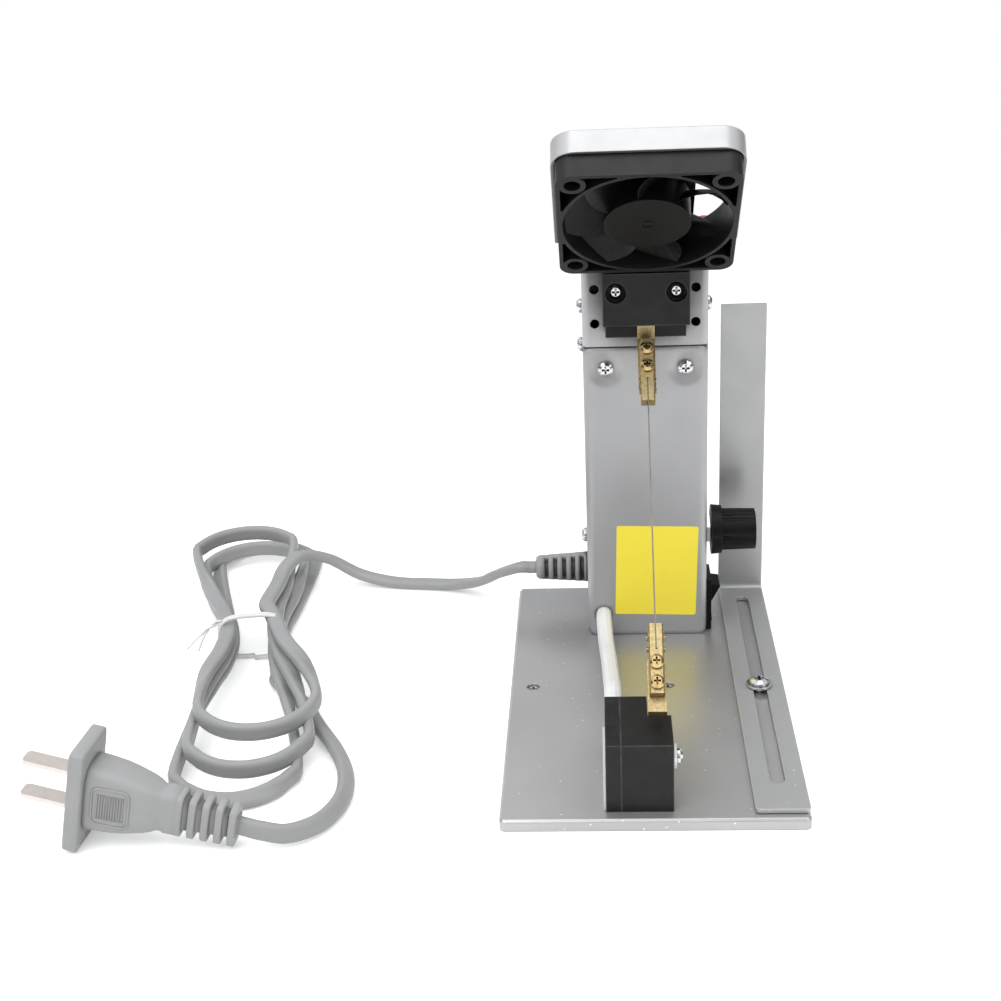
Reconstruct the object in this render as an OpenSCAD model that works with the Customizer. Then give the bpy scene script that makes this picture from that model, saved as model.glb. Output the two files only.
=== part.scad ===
// Bench-top hot knife: an electrically heated blade leans between two brass clamps,
// one on a steel base and one on a folded sheet column that also carries a fan.
// Frame: +Z up, +X to the right, +Y to the back, origin in the middle of the base's underside.

/* [Base] */
// Width of the base plate
base_w = 100; // [96:1:120]
// Depth of the base plate
base_d = 174; // [172:1:190]
// Thickness of the base plate
base_t = 4; // [3:0.5:6]
// Bevel along the upper edges of the base plate
base_bevel = 0.8; // [0.3:0.1:1.5]
// Corner radius of the base plate
base_corner = 2; // [1.6:0.2:5]
// Bore of the two sunk screw seats in the base
sunk_d = 4.8; // [4.2:0.1:6]

/* [Column] */
// Width of the column
col_w = 46; // [44:1:54]
// Depth of the column
col_d = 38; // [36:1:42]
// Height of the column above its front cover
col_h = 32.5; // [30:0.5:43]
// Distance from the base's front edge to the column's front
col_set = 130; // [128:1:134]
// Offset of the column, fan and blade from the base's middle
axis_x = 2; // [-2:0.5:4]
// Thickness of the folded sheet
sheet_t = 1.2; // [0.8:0.1:1.6]
// Outside radius of the column's folds
fold_r = 2.6; // [2:0.1:4]
// Height of the front cover
cover_h = 117.5; // [112:0.5:120]
// Depth of the folded sides of the front cover and the head
return_d = 8; // [6:0.5:12]
// Seam between the cover, the head and the shell
seam = 0.5; // [0.3:0.1:1]

/* [Head] */
// Bore of the four open holes in the head
head_hole_d = 3.4; // [3:0.1:4.4]
// Distance across between the open holes
head_hole_dx = 36.6; // [35:0.2:38]
// Distance up between the open holes
head_hole_dz = 12.8; // [10:0.2:14]
// Width of the neck that carries the fan
neck_w = 33; // [26:1:36]

/* [Fan] */
// Side of the square fan
fan_s = 60; // [58:1:62]
// Thickness of the fan
fan_t = 15; // [13:1:16]
// Lean of the fan's face from upright
fan_tilt = 45; // [42:1:48]
// Distance from the column's front to the middle of the fan's face
fan_reach = 37; // [36:0.5:40]
// Height of the middle of the fan's face above the column's top
fan_lift = 21; // [20:0.5:26]
// Distance between the fan's corner holes
fan_pitch = 49; // [48:0.5:50]
// Diameter of the fan's corner holes
fan_hole_d = 5.6; // [4.3:0.1:6]
// Diameter of the fan's air passage
fan_bore_d = 56.6; // [54:0.2:57]
// Diameter of the fan's hub
hub_d = 29; // [26:0.5:32]
// Number of fan blades
fan_blades = 7; // [5:1:9]
// Width of the hood strap along the fan's axis
hood_d = 8.4; // [6:0.2:11]
// Length of the hood's side wings
wing_l = 54; // [40:1:56]

/* [Blade] */
// Width of the blade
blade_w = 4.4; // [3.6:0.1:4.5]
// Thickness of the blade
blade_t = 0.4; // [0.3:0.05:0.6]
// Length from one brass end to the other
blade_span = 130; // [126:1:134]
// Length of each brass end
end_l = 24; // [22:0.5:26]
// Width of each brass end
end_w = 5; // [4.4:0.1:6]
// Thickness of each brass end
end_t = 4.6; // [4.6:0.1:5.4]
// Depth of the slit that grips the blade
slit_l = 9; // [8.5:0.1:10]
// Width of the bent brass holders
holder_w = 6.2; // [5.4:0.1:7]
// Thickness of the bent brass holders
holder_t = 2; // [1.5:0.1:2.5]

/* [Lower block] */
// Width of the lower block
block_w = 21.8; // [20:0.2:26]
// Depth of the lower block
block_d = 32; // [30:0.5:36]
// Height of the lower block
block_h = 24.5; // [22:0.5:28]
// Distance from the base's front edge to the lower block
block_set = 4.7; // [3:0.1:6]
// Depth of the corner that is cut away for the holder
notch_d = 12.7; // [10:0.1:15]
// Thickness of the block's left cheek
cheek_t = 5; // [4:0.1:6]
// Diameter of the white lead sleeve
sleeve_d = 5.8; // [4.6:0.1:6.4]

/* [Upper block] */
// Width of the upper block
top_block_w = 30.8; // [28:0.2:32]
// Thickness of the upper block
top_block_t = 8; // [7:0.5:9]
// Height of the upper block
top_block_h = 19; // [17:0.5:19]
// Width of the insulator behind the upper block
spacer_w = 29; // [26:0.5:31]
// Thickness of the insulator behind the upper block
spacer_t = 7; // [6:0.5:8]
// Distance between the two screws of the upper block
top_screw_dx = 21.4; // [18:0.2:23]

/* [Fence] */
// Width of the fence strip
fence_w = 17.6; // [15:0.2:19]
// Thickness of the fence strip
fence_t = 1.5; // [1.2:0.1:2]
// Height of the fence's upright
fence_h = 122; // [60:1:140]
// Length of the fence's foot
foot_l = 165; // [160:1:168]
// Width of the slot in the foot
slot_w = 5; // [4.6:0.1:6]
// Length of the slot in the foot
slot_l = 140; // [120:1:142]
// Inside radius of the fence's bend
bend_r = 2; // [1:0.5:4]

/* [Controls] */
// Diameter of the knob's skirt
skirt_d = 19.5; // [17:0.5:20]
// Diameter of the knob's cap
cap_d = 16.5; // [13:0.5:17]
// Length of the knob
knob_l = 17; // [14:0.5:19]
// Height of the rocker switch
rocker_h = 21; // [19:0.5:22]
// Width of the rocker switch
rocker_w = 15; // [13:0.5:16]

/* [Cord] */
// Width of the flat twin cord
cord_w = 6; // [5:0.1:6.2]
// Thickness of the flat twin cord
cord_t = 3.6; // [3:0.1:3.7]
// Half the length of the tied hank
hank_a = 100; // [90:1:104]
// Length of the strain relief outside the column
relief_l = 21; // [19:0.5:24]

/* [Hidden] */
$fn = 48;

// Hull children and small soft rounds
low_fn = 32;
// Clearance of faces that only rest beside each other on moving bodies
rest_gap = 0.3;
// Radial running clearance of shafts
run_gap = 0.05;
// Overshoot of cutting tools
cut = 1;

// Places worked out from the driving sizes
base_front = -base_d / 2;
base_top = base_t;
col_front = base_front + col_set;
col_back = col_front + col_d;
col_left = axis_x - col_w / 2;
col_right = axis_x + col_w / 2;
cover_top = base_top + cover_h;
col_top = cover_top + col_h;
head_z0 = cover_top + seam;
head_hole_z = head_z0 + 8.8;

// Colours
steel_c = [0.72, 0.73, 0.74];
chrome_c = [0.82, 0.83, 0.84];
brass_c = [0.85, 0.68, 0.33];
black_c = [0.1, 0.1, 0.11];
white_c = [0.94, 0.94, 0.92];
grey_c = [0.56, 0.57, 0.58];

// A rounded rectangle from plain squares and circles
module rounded_2d(w, d, r) {
    square([w - 2 * r, d], center = true);
    square([w, d - 2 * r], center = true);
    for (sx = [-1, 1], sy = [-1, 1])
        translate([sx * (w / 2 - r), sy * (d / 2 - r)])
            circle(r = r);
}

// A pan-head screw along +Z: the head's seat is at z = 0 and the shank goes down
module pan_screw(head_d, head_h, shank_d, shank_l) {
    difference() {
        union() {
            cylinder(d = head_d, h = head_h * 0.55);
            translate([0, 0, head_h * 0.55])
                cylinder(d1 = head_d, d2 = head_d * 0.62, h = head_h * 0.45);
        }
        cross_recess(head_d * 0.52, head_h);
    }
    translate([0, 0, -shank_l])
        cylinder(d = shank_d, h = shank_l + head_h * 0.1);
}

// The cross-shaped recess at the top of a head of height h
module cross_recess(span, h) {
    for (turn = [0, 90])
        rotate([0, 0, turn])
            translate([-span / 2, -span * 0.13, h * 0.45])
                cube([span, span * 0.26, h]);
}

// Base plate
sunk_y = 1.5;
sunk_x = [-41.6, 8.1];
fence_x = base_w / 2 - fence_w / 2 - 0.1;
fence_screw_y = -2.6;
fence_tap_d = 4;
screw_d = 3;
screw_hole_d = screw_d + 0.2;
screw_head_d = 5.5;
countersink_h = 1.7;
sink_z = 0.1;
flange_w = 9;
col_screw_y = [col_front + 12, col_back - 8];
block_front = base_front + block_set;
block_back = block_front + block_d;
block_right = axis_x + 4.4;
block_left = block_right - block_w;
block_top = base_top + block_h;
block_screw_y = [block_front + 13, block_back - 6];
block_screw_x = block_left + cheek_t + 4;

module countersunk_hole(x, y) {
    translate([x, y, -cut])
        cylinder(d = screw_hole_d, h = base_t + 2 * cut);
    translate([x, y, sink_z])
        cylinder(d1 = screw_head_d, d2 = screw_d, h = countersink_h);
    translate([x, y, -cut])
        cylinder(d = screw_head_d, h = cut + sink_z);
}

module base_plate() {
    cx = base_w / 2 - base_corner;
    cy = base_d / 2 - base_corner;
    color(steel_c)
        difference() {
            hull()
                for (sx = [-1, 1], sy = [-1, 1])
                    translate([sx * cx, sy * cy, 0]) {
                        cylinder(r = base_corner, h = base_t - base_bevel, $fn = low_fn);
                        cylinder(r = base_corner - base_bevel, h = base_t, $fn = low_fn);
                    }
            for (x = sunk_x)
                translate([x, sunk_y, -cut])
                    cylinder(d = sunk_d, h = base_t + 2 * cut);
            translate([fence_x, fence_screw_y, -cut])
                cylinder(d = fence_tap_d, h = base_t + 2 * cut);
            for (sx = [-1, 1], y = col_screw_y)
                countersunk_hole(axis_x + sx * flange_screw_dx, y);
            for (y = block_screw_y)
                countersunk_hole(block_screw_x, y);
        }
}

// Two short cross-recessed screws that sit below the base's surface
module sunk_screws() {
    color(chrome_c)
        for (x = sunk_x)
            translate([x, sunk_y, 0.3])
                difference() {
                    cylinder(d = sunk_d, h = base_t - 1.1);
                    translate([0, 0, base_t - 1.1 - 0.9])
                        cross_recess(sunk_d * 0.62, 0.9);
                }
}

module countersunk_screw(x, y, l) {
    translate([x, y, sink_z]) {
        cylinder(d1 = screw_head_d, d2 = screw_d, h = countersink_h);
        cylinder(d = screw_d, h = l);
    }
}

flange_screw_dx = col_w / 2 - sheet_t - flange_w / 2;

module column_screws() {
    color(chrome_c)
        for (sx = [-1, 1], y = col_screw_y)
            countersunk_screw(axis_x + sx * flange_screw_dx, y, base_t + sheet_t);
}

module block_screws() {
    color(chrome_c)
        for (y = block_screw_y)
            countersunk_screw(block_screw_x, y, base_t + 8);
}

// The ring of the column's sheet, seen from above, with its middle at the column's middle
module column_ring() {
    difference() {
        rounded_2d(col_w, col_d, fold_r);
        rounded_2d(col_w - 2 * sheet_t, col_d - 2 * sheet_t, fold_r - sheet_t);
    }
}

module at_column(z) {
    translate([axis_x, col_front + col_d / 2, z])
        children();
}

// Side fittings
side_screw_y = col_front + 12;
head_screw_z = head_z0 + 12.4;
board_screw_z = cover_top - 1.9;
coil_screw_z = base_top + 38;
knob_y = col_front + 10.5;
knob_z = base_top + 40;
rocker_y = knob_y;
rocker_z = base_top + rocker_h / 2 + 0.6;
relief_y = col_front + 27;
relief_z = base_top + 17.4;
relief_neck_d = 9;
bush_d = 8;
side_fill_z = knob_z + skirt_d / 2 + 5;
rocker_cut_w = rocker_w - 2;
rocker_cut_h = rocker_h - 2;
lead_hole_d = 4;

module side_bore(side, y, z, d) {
    translate([axis_x + side * (col_w / 2 - sheet_t - cut), y, z])
        rotate([0, side * 90, 0])
            cylinder(d = d, h = sheet_t + 2 * cut);
}

module column_shell() {
    wall_z = col_top - sheet_t;
    color(steel_c)
        difference() {
            union() {
                at_column(base_top)
                    linear_extrude(col_top - base_top)
                        difference() {
                            column_ring();
                            translate([-col_w / 2 - cut, -col_d / 2 - cut])
                                square([col_w + 2 * cut, return_d + cut + seam]);
                        }
                // Lid folded in at the top, behind the head
                at_column(wall_z)
                    linear_extrude(sheet_t)
                        intersection() {
                            rounded_2d(col_w, col_d, fold_r);
                            translate([-col_w / 2, -col_d / 2 + return_d + seam])
                                square([col_w, col_d]);
                        }
                at_column(wall_z)
                    linear_extrude(sheet_t)
                        rounded_2d(col_w - 2 * sheet_t - 2 * rest_gap, col_d - 2 * sheet_t - 2 * rest_gap, 1.2);
                at_column(wall_z)
                    translate([0, col_d / 4, sheet_t / 2])
                        cube([col_w - sheet_t, col_d / 2 - sheet_t, sheet_t], center = true);
                // Right side carried forward beside the knob and the switch
                translate([col_right - sheet_t, col_front + fold_r + seam, base_top])
                    cube([sheet_t, return_d, side_fill_z - base_top]);
                // Feet folded in at the bottom
                for (sx = [-1, 1])
                    translate([axis_x + sx * (col_w / 2 - flange_w / 2 - sheet_t / 2) - flange_w / 2,
                               col_front + return_d + seam, base_top])
                        cube([flange_w, col_d - return_d - seam - sheet_t, sheet_t]);
            }
            side_bore(-1, side_screw_y, head_screw_z, screw_hole_d);
            side_bore(1, side_screw_y, head_screw_z, screw_hole_d);
            side_bore(-1, side_screw_y, board_screw_z, screw_hole_d);
            side_bore(-1, side_screw_y, coil_screw_z, screw_hole_d);
            side_bore(-1, relief_y, relief_z, relief_neck_d + 0.2);
            side_bore(1, knob_y, knob_z, bush_d + 0.3);
            translate([col_right - sheet_t - cut, rocker_y - rocker_cut_w / 2, rocker_z - rocker_cut_h / 2])
                cube([sheet_t + 2 * cut, rocker_cut_w, rocker_cut_h]);
            for (sx = [-1, 1], y = col_screw_y)
                translate([axis_x + sx * flange_screw_dx, y, base_top - cut])
                    cylinder(d = screw_d, h = sheet_t + 2 * cut);
            translate([axis_x + col_w / 4, col_front + return_d + 6, col_top - sheet_t - cut])
                cylinder(d = lead_hole_d, h = sheet_t + 2 * cut);
        }
}

// Front cover
cover_screw_dx = 29.4;
cover_screw_z = cover_top - 8.2;
dimple_d = 14;
dimple_depth = 1.1;
dimple_floor_d = 7;
cover_corner = 3;
sleeve_x = axis_x - 17;
sleeve_z = base_top + 9.2;

// Sheet folded round the column's front, from z0 up to z1
module front_wrap(z0, z1) {
    at_column(z0)
        linear_extrude(z1 - z0)
            intersection() {
                column_ring();
                translate([-col_w / 2 - cut, -col_d / 2 - cut])
                    square([col_w + 2 * cut, return_d + cut]);
            }
}

// Stock that keeps the sheet's thickness behind a dimple
module dimple_back(x, z) {
    translate([x, col_front + sheet_t / 2, z])
        rotate([-90, 0, 0])
            cylinder(d1 = dimple_d, d2 = dimple_floor_d + 2 * sheet_t, h = dimple_depth + sheet_t / 2);
}

module dimple_cut(x, z) {
    translate([x, col_front - 0.01, z])
        rotate([-90, 0, 0]) {
            cylinder(d1 = dimple_d - 0.6, d2 = dimple_floor_d, h = dimple_depth + 0.01);
            cylinder(d = screw_hole_d, h = dimple_depth + 2 * sheet_t + cut);
        }
}

module front_cover() {
    color(steel_c)
        difference() {
            union() {
                front_wrap(base_top + 0.2, cover_top);
                for (sx = [-1, 1])
                    dimple_back(axis_x + sx * cover_screw_dx / 2, cover_screw_z);
            }
            for (sx = [-1, 1])
                dimple_cut(axis_x + sx * cover_screw_dx / 2, cover_screw_z);
            // Rounded corners of the front sheet, seen from the front
            for (sx = [-1, 1], top = [0, 1])
                translate([axis_x + sx * col_w / 2, col_front - cut, top ? cover_top : base_top + 0.2])
                    mirror([sx > 0 ? 1 : 0, 0, 0])
                        mirror([0, 0, top])
                            rotate([-90, 0, 0])
                                corner_cut(cover_corner, sheet_t + fold_r + cut);
            translate([sleeve_x, col_front - cut, sleeve_z])
                rotate([-90, 0, 0])
                    cylinder(d = sleeve_d + 0.8, h = sheet_t + 2 * cut);
            translate([col_right - sheet_t - cut, col_front + fold_r, base_top - cut])
                cube([sheet_t + 2 * cut, return_d, side_fill_z + seam - base_top + cut]);
        }
}

// What a rounded corner of radius r takes away, with the corner at the origin, for h deep
module corner_cut(r, h) {
    linear_extrude(h)
        difference() {
            translate([-0.01, -r])
                square([r, r + 0.01]);
            translate([r, -r])
                circle(r = r);
        }
}

module cover_screws() {
    color(chrome_c)
        for (sx = [-1, 1])
            translate([axis_x + sx * cover_screw_dx / 2, col_front + dimple_depth, cover_screw_z])
                rotate([90, 0, 0])
                    pan_screw(screw_head_d, 2, screw_d, 6);
}

// Head bracket: the column's upper front, whose neck leans forward behind the fan and
// ends in a hood strap round the fan's top and sides
fan_gap = 0.3;
fan_y = col_front - fan_reach;
fan_z = col_top + fan_lift;
fan_x = axis_x;
hood_in = fan_s + 2 * fan_gap;
hood_out = hood_in + 2 * sheet_t;
fan_corner = 5;
hood_corner = 7;
ear_h = 13;
tab_l = 15;

module at_fan() {
    translate([fan_x, fan_y, fan_z])
        rotate([fan_tilt, 0, 0])
            children();
}

// Side view of the neck: upright in the column's front, then along the fan's back
module neck_profile() {
    back = [cos(fan_tilt), sin(fan_tilt)];
    up = [-sin(fan_tilt), cos(fan_tilt)];
    near = [fan_y, fan_z] + (fan_t + fan_gap) * back;
    far = near + sheet_t * back;
    near_s = (near.x - col_front) / sin(fan_tilt);
    far_s = (far.x - col_front - sheet_t) / sin(fan_tilt);
    top = hood_in / 2 + sheet_t;
    polygon([
        [col_front, col_top - 4],
        near + near_s * up,
        near + top * up,
        far + top * up,
        far + far_s * up,
        [col_front + sheet_t, col_top - 4]
    ]);
}

module head_bracket() {
    color(steel_c)
        difference() {
            union() {
                front_wrap(head_z0, col_top);
                // Tongue behind the cover that its two screws go into
                translate([axis_x - cover_screw_dx / 2 - 6, col_front + dimple_depth + sheet_t, cover_screw_z - 5])
                    cube([cover_screw_dx + 12, sheet_t, head_z0 + 4 - cover_screw_z + 5]);
                translate([axis_x - cover_screw_dx / 2 - 6, col_front + sheet_t / 2, head_z0 + 1])
                    cube([cover_screw_dx + 12, dimple_depth + sheet_t, 3]);
                // Inner tabs that the side screws go into
                for (sx = [-1, 1])
                    translate([axis_x + sx * (col_w / 2 - 1.5 * sheet_t) - sheet_t / 2,
                               col_front + sheet_t / 2, head_screw_z - 6])
                        cube([sheet_t, tab_l, 12]);
                for (sx = [-1, 1])
                    translate([axis_x + sx * (col_w / 2 - sheet_t - 0.5) - 0.7, col_front + sheet_t / 2, head_screw_z - 6])
                        cube([1.4, return_d - 2, 12]);
                translate([axis_x - neck_w / 2, 0, 0])
                    rotate([90, 0, 90])
                        linear_extrude(neck_w)
                            neck_profile();
                at_fan()
                    hood();
            }
            for (sx = [-1, 1], row = [0, 1])
                translate([axis_x + sx * head_hole_dx / 2, col_front - cut, head_hole_z + row * head_hole_dz])
                    rotate([-90, 0, 0])
                        cylinder(d = head_hole_d, h = sheet_t + 2 * cut);
            for (sx = [-1, 1]) {
                translate([axis_x + sx * top_screw_dx / 2, col_front - cut, top_screw_z])
                    rotate([-90, 0, 0])
                        cylinder(d = screw_hole_d, h = sheet_t + 2 * cut);
                translate([axis_x + sx * cover_screw_dx / 2, col_front + sheet_t, cover_screw_z])
                    rotate([-90, 0, 0])
                        cylinder(d = screw_d, h = 3 * sheet_t);
                translate([axis_x + sx * (col_w / 2 - sheet_t - tab_l / 2), side_screw_y, head_screw_z])
                    rotate([0, 90, 0])
                        cylinder(d = screw_d, h = tab_l, center = true);
            }
        }
}

// Strap, corner ears and upper back bar, in the fan's own frame
module hood() {
    difference() {
        union() {
            translate([0, fan_t - hood_d + fan_gap + sheet_t, 0])
                rotate([90, 0, 0])
                    mirror([0, 0, 1])
                        linear_extrude(hood_d)
                            difference() {
                                rounded_2d(hood_out, hood_out, hood_corner + sheet_t);
                                rounded_2d(hood_in, hood_in, fan_corner + fan_gap);
                                translate([-hood_out, -hood_out * 1.5])
                                    square([2 * hood_out, hood_out * 2 - wing_l]);
                            }
            translate([0, fan_t + fan_gap + sheet_t, 0])
                rotate([90, 0, 0])
                    linear_extrude(sheet_t)
                        intersection() {
                            rounded_2d(hood_out, hood_out, hood_corner + sheet_t);
                            translate([-hood_out / 2, hood_out / 2 - ear_h])
                                square([hood_out, ear_h]);
                        }
        }
        // Air passage, left open behind the fan except for the neck
        difference() {
            translate([0, fan_t - cut, 0])
                rotate([-90, 0, 0])
                    cylinder(d = fan_bore_d, h = 3 * sheet_t + cut);
            translate([-neck_w / 2, 0, 0])
                cube([neck_w, 2 * fan_t, fan_s]);
        }
        for (sx = [-1, 1])
            translate([sx * fan_pitch / 2, fan_t - cut, fan_pitch / 2])
                rotate([-90, 0, 0])
                    cylinder(d = screw_hole_d, h = 3 * sheet_t + cut);
    }
}

module side_screws() {
    color(chrome_c) {
        for (place = [[-1, head_screw_z], [1, head_screw_z], [-1, board_screw_z], [-1, coil_screw_z]])
            translate([axis_x + place[0] * col_w / 2, side_screw_y, place[1]])
                rotate([0, place[0] * 90, 0])
                    pan_screw(screw_head_d, 2, screw_d, 4.4);
    }
}

// Fan frame: a square body with an air passage, open pockets beside each corner
// boss, and three struts that carry the motor seat at the back
seat_r = 13.5;
strut_w = 3;
strut_t = 2.2;
struts = 3;
pocket_d = 10;
boss_r = fan_hole_d / 2 + 1.6;
bearing_r = 3.2;
tube_r = bearing_r + 1;
shaft_r = 1.5;
tube_l = 8;

// Two triangular pockets beside the corner boss, on the +X +Y corner
module corner_pockets() {
    edge = fan_s / 2 - 1.4;
    difference() {
        square([edge, edge]);
        circle(d = fan_bore_d + 2.4);
        translate([fan_pitch / 2, fan_pitch / 2])
            circle(r = boss_r);
        // The corner itself stays solid round the boss
        translate([fan_pitch / 2, fan_pitch / 2])
            square([edge, edge]);
        square([10, fan_s]);
        square([fan_s, 10]);
    }
}

module fan_frame() {
    color(black_c)
        at_fan()
            rotate([-90, 0, 0]) {
                difference() {
                    linear_extrude(fan_t)
                        difference() {
                            rounded_2d(fan_s, fan_s, fan_corner);
                            circle(d = fan_bore_d);
                            for (sx = [-1, 1], sy = [-1, 1])
                                translate([sx * fan_pitch / 2, sy * fan_pitch / 2])
                                    circle(d = fan_hole_d);
                        }
                    for (turn = [0 : 90 : 270])
                        rotate([0, 0, turn])
                            translate([0, 0, -cut])
                                linear_extrude(pocket_d + cut)
                                    corner_pockets();
                }
                translate([0, 0, fan_t - strut_t])
                    difference() {
                        cylinder(r = seat_r, h = strut_t);
                        translate([0, 0, -cut])
                            cylinder(r = bearing_r, h = strut_t + 2 * cut);
                    }
                translate([0, 0, fan_t - tube_l])
                    difference() {
                        cylinder(r = tube_r, h = tube_l);
                        translate([0, 0, -cut])
                            cylinder(r = bearing_r, h = tube_l + 2 * cut);
                    }
                for (i = [0 : struts - 1])
                    rotate([0, 0, 90 + i * 360 / struts])
                        translate([seat_r - 1, -strut_w / 2, fan_t - strut_t])
                            cube([fan_bore_d / 2 - seat_r + 2, strut_w, strut_t]);
            }
}

// Fan impeller: a cup hub with swept, twisted blades
hub_l = 10.4;
hub_wall = 1.3;
tip_gap = 0.7;
blade_root_turn = 34;
blade_tip_turn = 46;
blade_sweep = 16;
blade_depth = 9;
blade_thick = 1.1;
blade_radial = 5;
blade_chord = 6;
impeller_front = 0.5;

// Point of a fan blade: r out from the axis, c along its chord from 0 to 1, on face s
function vane_point(r, c, s) =
    let (out = (r - hub_d / 2 + 1) / (fan_bore_d / 2 - tip_gap - hub_d / 2 + 1),
         turn = blade_root_turn + (blade_tip_turn - blade_root_turn) * out,
         angle = blade_sweep * out * out + turn * c,
         bow = 1.2 * sin(180 * c),
         depth = impeller_front + 0.6 + blade_depth * c + bow + s * blade_thick / 2 * (0.35 + 0.65 * sin(180 * c)))
    [r * cos(angle), r * sin(angle), depth];

module vane() {
    r0 = hub_d / 2 - 1;
    r1 = fan_bore_d / 2 - tip_gap;
    nr = blade_radial;
    nc = blade_chord;
    row = nc + 1;
    sheet = (nr + 1) * row;
    points = [
        for (s = [-1, 1], i = [0 : nr], j = [0 : nc])
            vane_point(r0 + (r1 - r0) * i / nr, j / nc, s)
    ];
    lower = [for (i = [0 : nr - 1], j = [0 : nc - 1], k = [0, 1])
        let (a = i * row + j)
        k == 0 ? [a, a + row, a + 1] : [a + 1, a + row, a + row + 1]];
    upper = [for (f = lower) [f[0] + sheet, f[2] + sheet, f[1] + sheet]];
    ring = concat(
        [for (j = [0 : nc]) j],
        [for (i = [1 : nr]) i * row + nc],
        [for (j = [nc - 1 : -1 : 0]) nr * row + j],
        [for (i = [nr - 1 : -1 : 1]) i * row]
    );
    n = len(ring);
    rim = [for (i = [0 : n - 1], k = [0, 1])
        let (a = ring[i], b = ring[(i + 1) % n])
        k == 0 ? [a, b, a + sheet] : [b, b + sheet, a + sheet]];
    polyhedron(points = points, faces = concat(lower, upper, rim));
}

module fan_impeller() {
    color(black_c)
        at_fan()
            rotate([-90, 0, 0]) {
                difference() {
                    union() {
                        translate([0, 0, impeller_front])
                            cylinder(d = hub_d, h = hub_l);
                        for (i = [0 : fan_blades - 1])
                            rotate([0, 0, i * 360 / fan_blades])
                                vane();
                    }
                    translate([0, 0, impeller_front + hub_wall])
                        cylinder(d = hub_d - 2 * hub_wall, h = hub_l + fan_t);
                    translate([0, 0, impeller_front - cut])
                        difference() {
                            cylinder(r = 2.2, h = cut + 0.3);
                            cylinder(r = 1.4, h = cut + 0.3);
                        }
                }
                // Boss that grips the shaft
                translate([0, 0, impeller_front + hub_wall - 0.2])
                    difference() {
                        cylinder(r = tube_r - 0.6, h = fan_t - tube_l - impeller_front - hub_wall - 0.1);
                        cylinder(r = shaft_r, h = fan_t);
                    }
            }
}

module fan_shaft() {
    color(chrome_c)
        at_fan()
            rotate([-90, 0, 0])
                translate([0, 0, impeller_front + hub_wall])
                    cylinder(r = shaft_r, h = fan_t - impeller_front - hub_wall - 0.6);
}

module fan_bearing() {
    color(brass_c)
        at_fan()
            rotate([-90, 0, 0])
                translate([0, 0, fan_t - tube_l])
                    difference() {
                        cylinder(r = bearing_r, h = tube_l);
                        translate([0, 0, -cut])
                            cylinder(r = shaft_r + run_gap, h = tube_l + 2 * cut);
                    }
}

module fan_screws() {
    color(chrome_c)
        at_fan()
            for (sx = [-1, 1])
                translate([sx * fan_pitch / 2, fan_t + fan_gap + sheet_t, fan_pitch / 2])
                    rotate([-90, 0, 0])
                        pan_screw(screw_head_d, 2, screw_d, 9);
}

// Coil ring of the fan's motor, round the bearing tube
module fan_stator() {
    poles = 4;
    color(brass_c)
        at_fan()
            rotate([-90, 0, 0])
                translate([0, 0, fan_t - strut_t - stator_l])
                    difference() {
                        cylinder(r = stator_r, h = stator_l);
                        translate([0, 0, -cut])
                            cylinder(r = tube_r + run_gap, h = stator_l + 2 * cut);
                        for (i = [0 : poles - 1])
                            rotate([0, 0, 45 + i * 360 / poles])
                                translate([tube_r + 3, -1.2, -cut])
                                    cube([stator_r, 2.4, stator_l + 2 * cut]);
                    }
}

stator_r = 11.4;
stator_l = 5;

// Blade line: the contact plane of the two bent holders, seen from the side
fan_low_z = fan_z - fan_s / 2 * cos(fan_tilt);
under_fan = 0.8;
top_block_z0 = fan_low_z - under_fan - top_block_h;
top_screw_z = top_block_z0 + 12;
lower_bend = [block_back - notch_d, block_top + 1.3];
upper_bend = [col_front - spacer_t - holder_t, top_block_z0 - 6.5];
blade_run = upper_bend - lower_bend;
blade_angle = atan2(blade_run.y, blade_run.x);
along = [cos(blade_angle), sin(blade_angle)];
across = [-sin(blade_angle), cos(blade_angle)];
line_l = norm(blade_run);
spare_l = line_l - blade_span;
lower_start = spare_l * 0.65;
upper_start = lower_start + blade_span - end_l;
lower_grip = 12.5;
upper_grip = 16.5;
clamp_d = 2.5;
clamp_head_d = 4.8;
clamp_gap = 6.9;
clamp_in = 3.7;
jaw_d = 1.8;
jaw_gap = 4;
jaw_in = 4.5;
blade_inset = 0.5;

module at_blade() {
    translate([axis_x, lower_bend.x, lower_bend.y])
        rotate([blade_angle, 0, 0])
            children();
}

// A flat shape drawn in X and Z, drawn out along +Y
module along_y(l) {
    rotate([-90, 0, 0])
        linear_extrude(l)
            mirror([0, 1, 0])
                children();
}

// A flat shape drawn in Y and Z, drawn out along +X
module along_x(l) {
    rotate([90, 0, 90])
        linear_extrude(l)
            children();
}

// Brass end, from 0 to end_l along +Y, with its slit at the far end
module brass_end(first_screw) {
    edge = 0.5;
    difference() {
        along_y(end_l)
            polygon([
                [-end_w / 2, 0], [end_w / 2, 0],
                [end_w / 2, end_t - edge], [end_w / 2 - edge, end_t],
                [edge - end_w / 2, end_t], [-end_w / 2, end_t - edge]
            ]);
        translate([-blade_t / 2, end_l - slit_l, -cut])
            cube([blade_t, slit_l + cut, end_t + 2 * cut]);
        for (i = [0, 1])
            translate([0, first_screw + i * clamp_gap, -cut])
                cylinder(d = clamp_d, h = end_t + 2 * cut);
        for (i = [0, 1])
            translate([-end_w, end_l - jaw_in + i * jaw_gap - jaw_gap, end_t / 2])
                rotate([0, 90, 0])
                    cylinder(d = jaw_d, h = 2 * end_w, $fn = 24);
    }
}

module clamp_screws(start) {
    for (i = [0, 1])
        translate([0, start + i * clamp_gap, end_t])
            pan_screw(clamp_head_d, 1.9, clamp_d, end_t + holder_t + 0.6);
}

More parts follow.
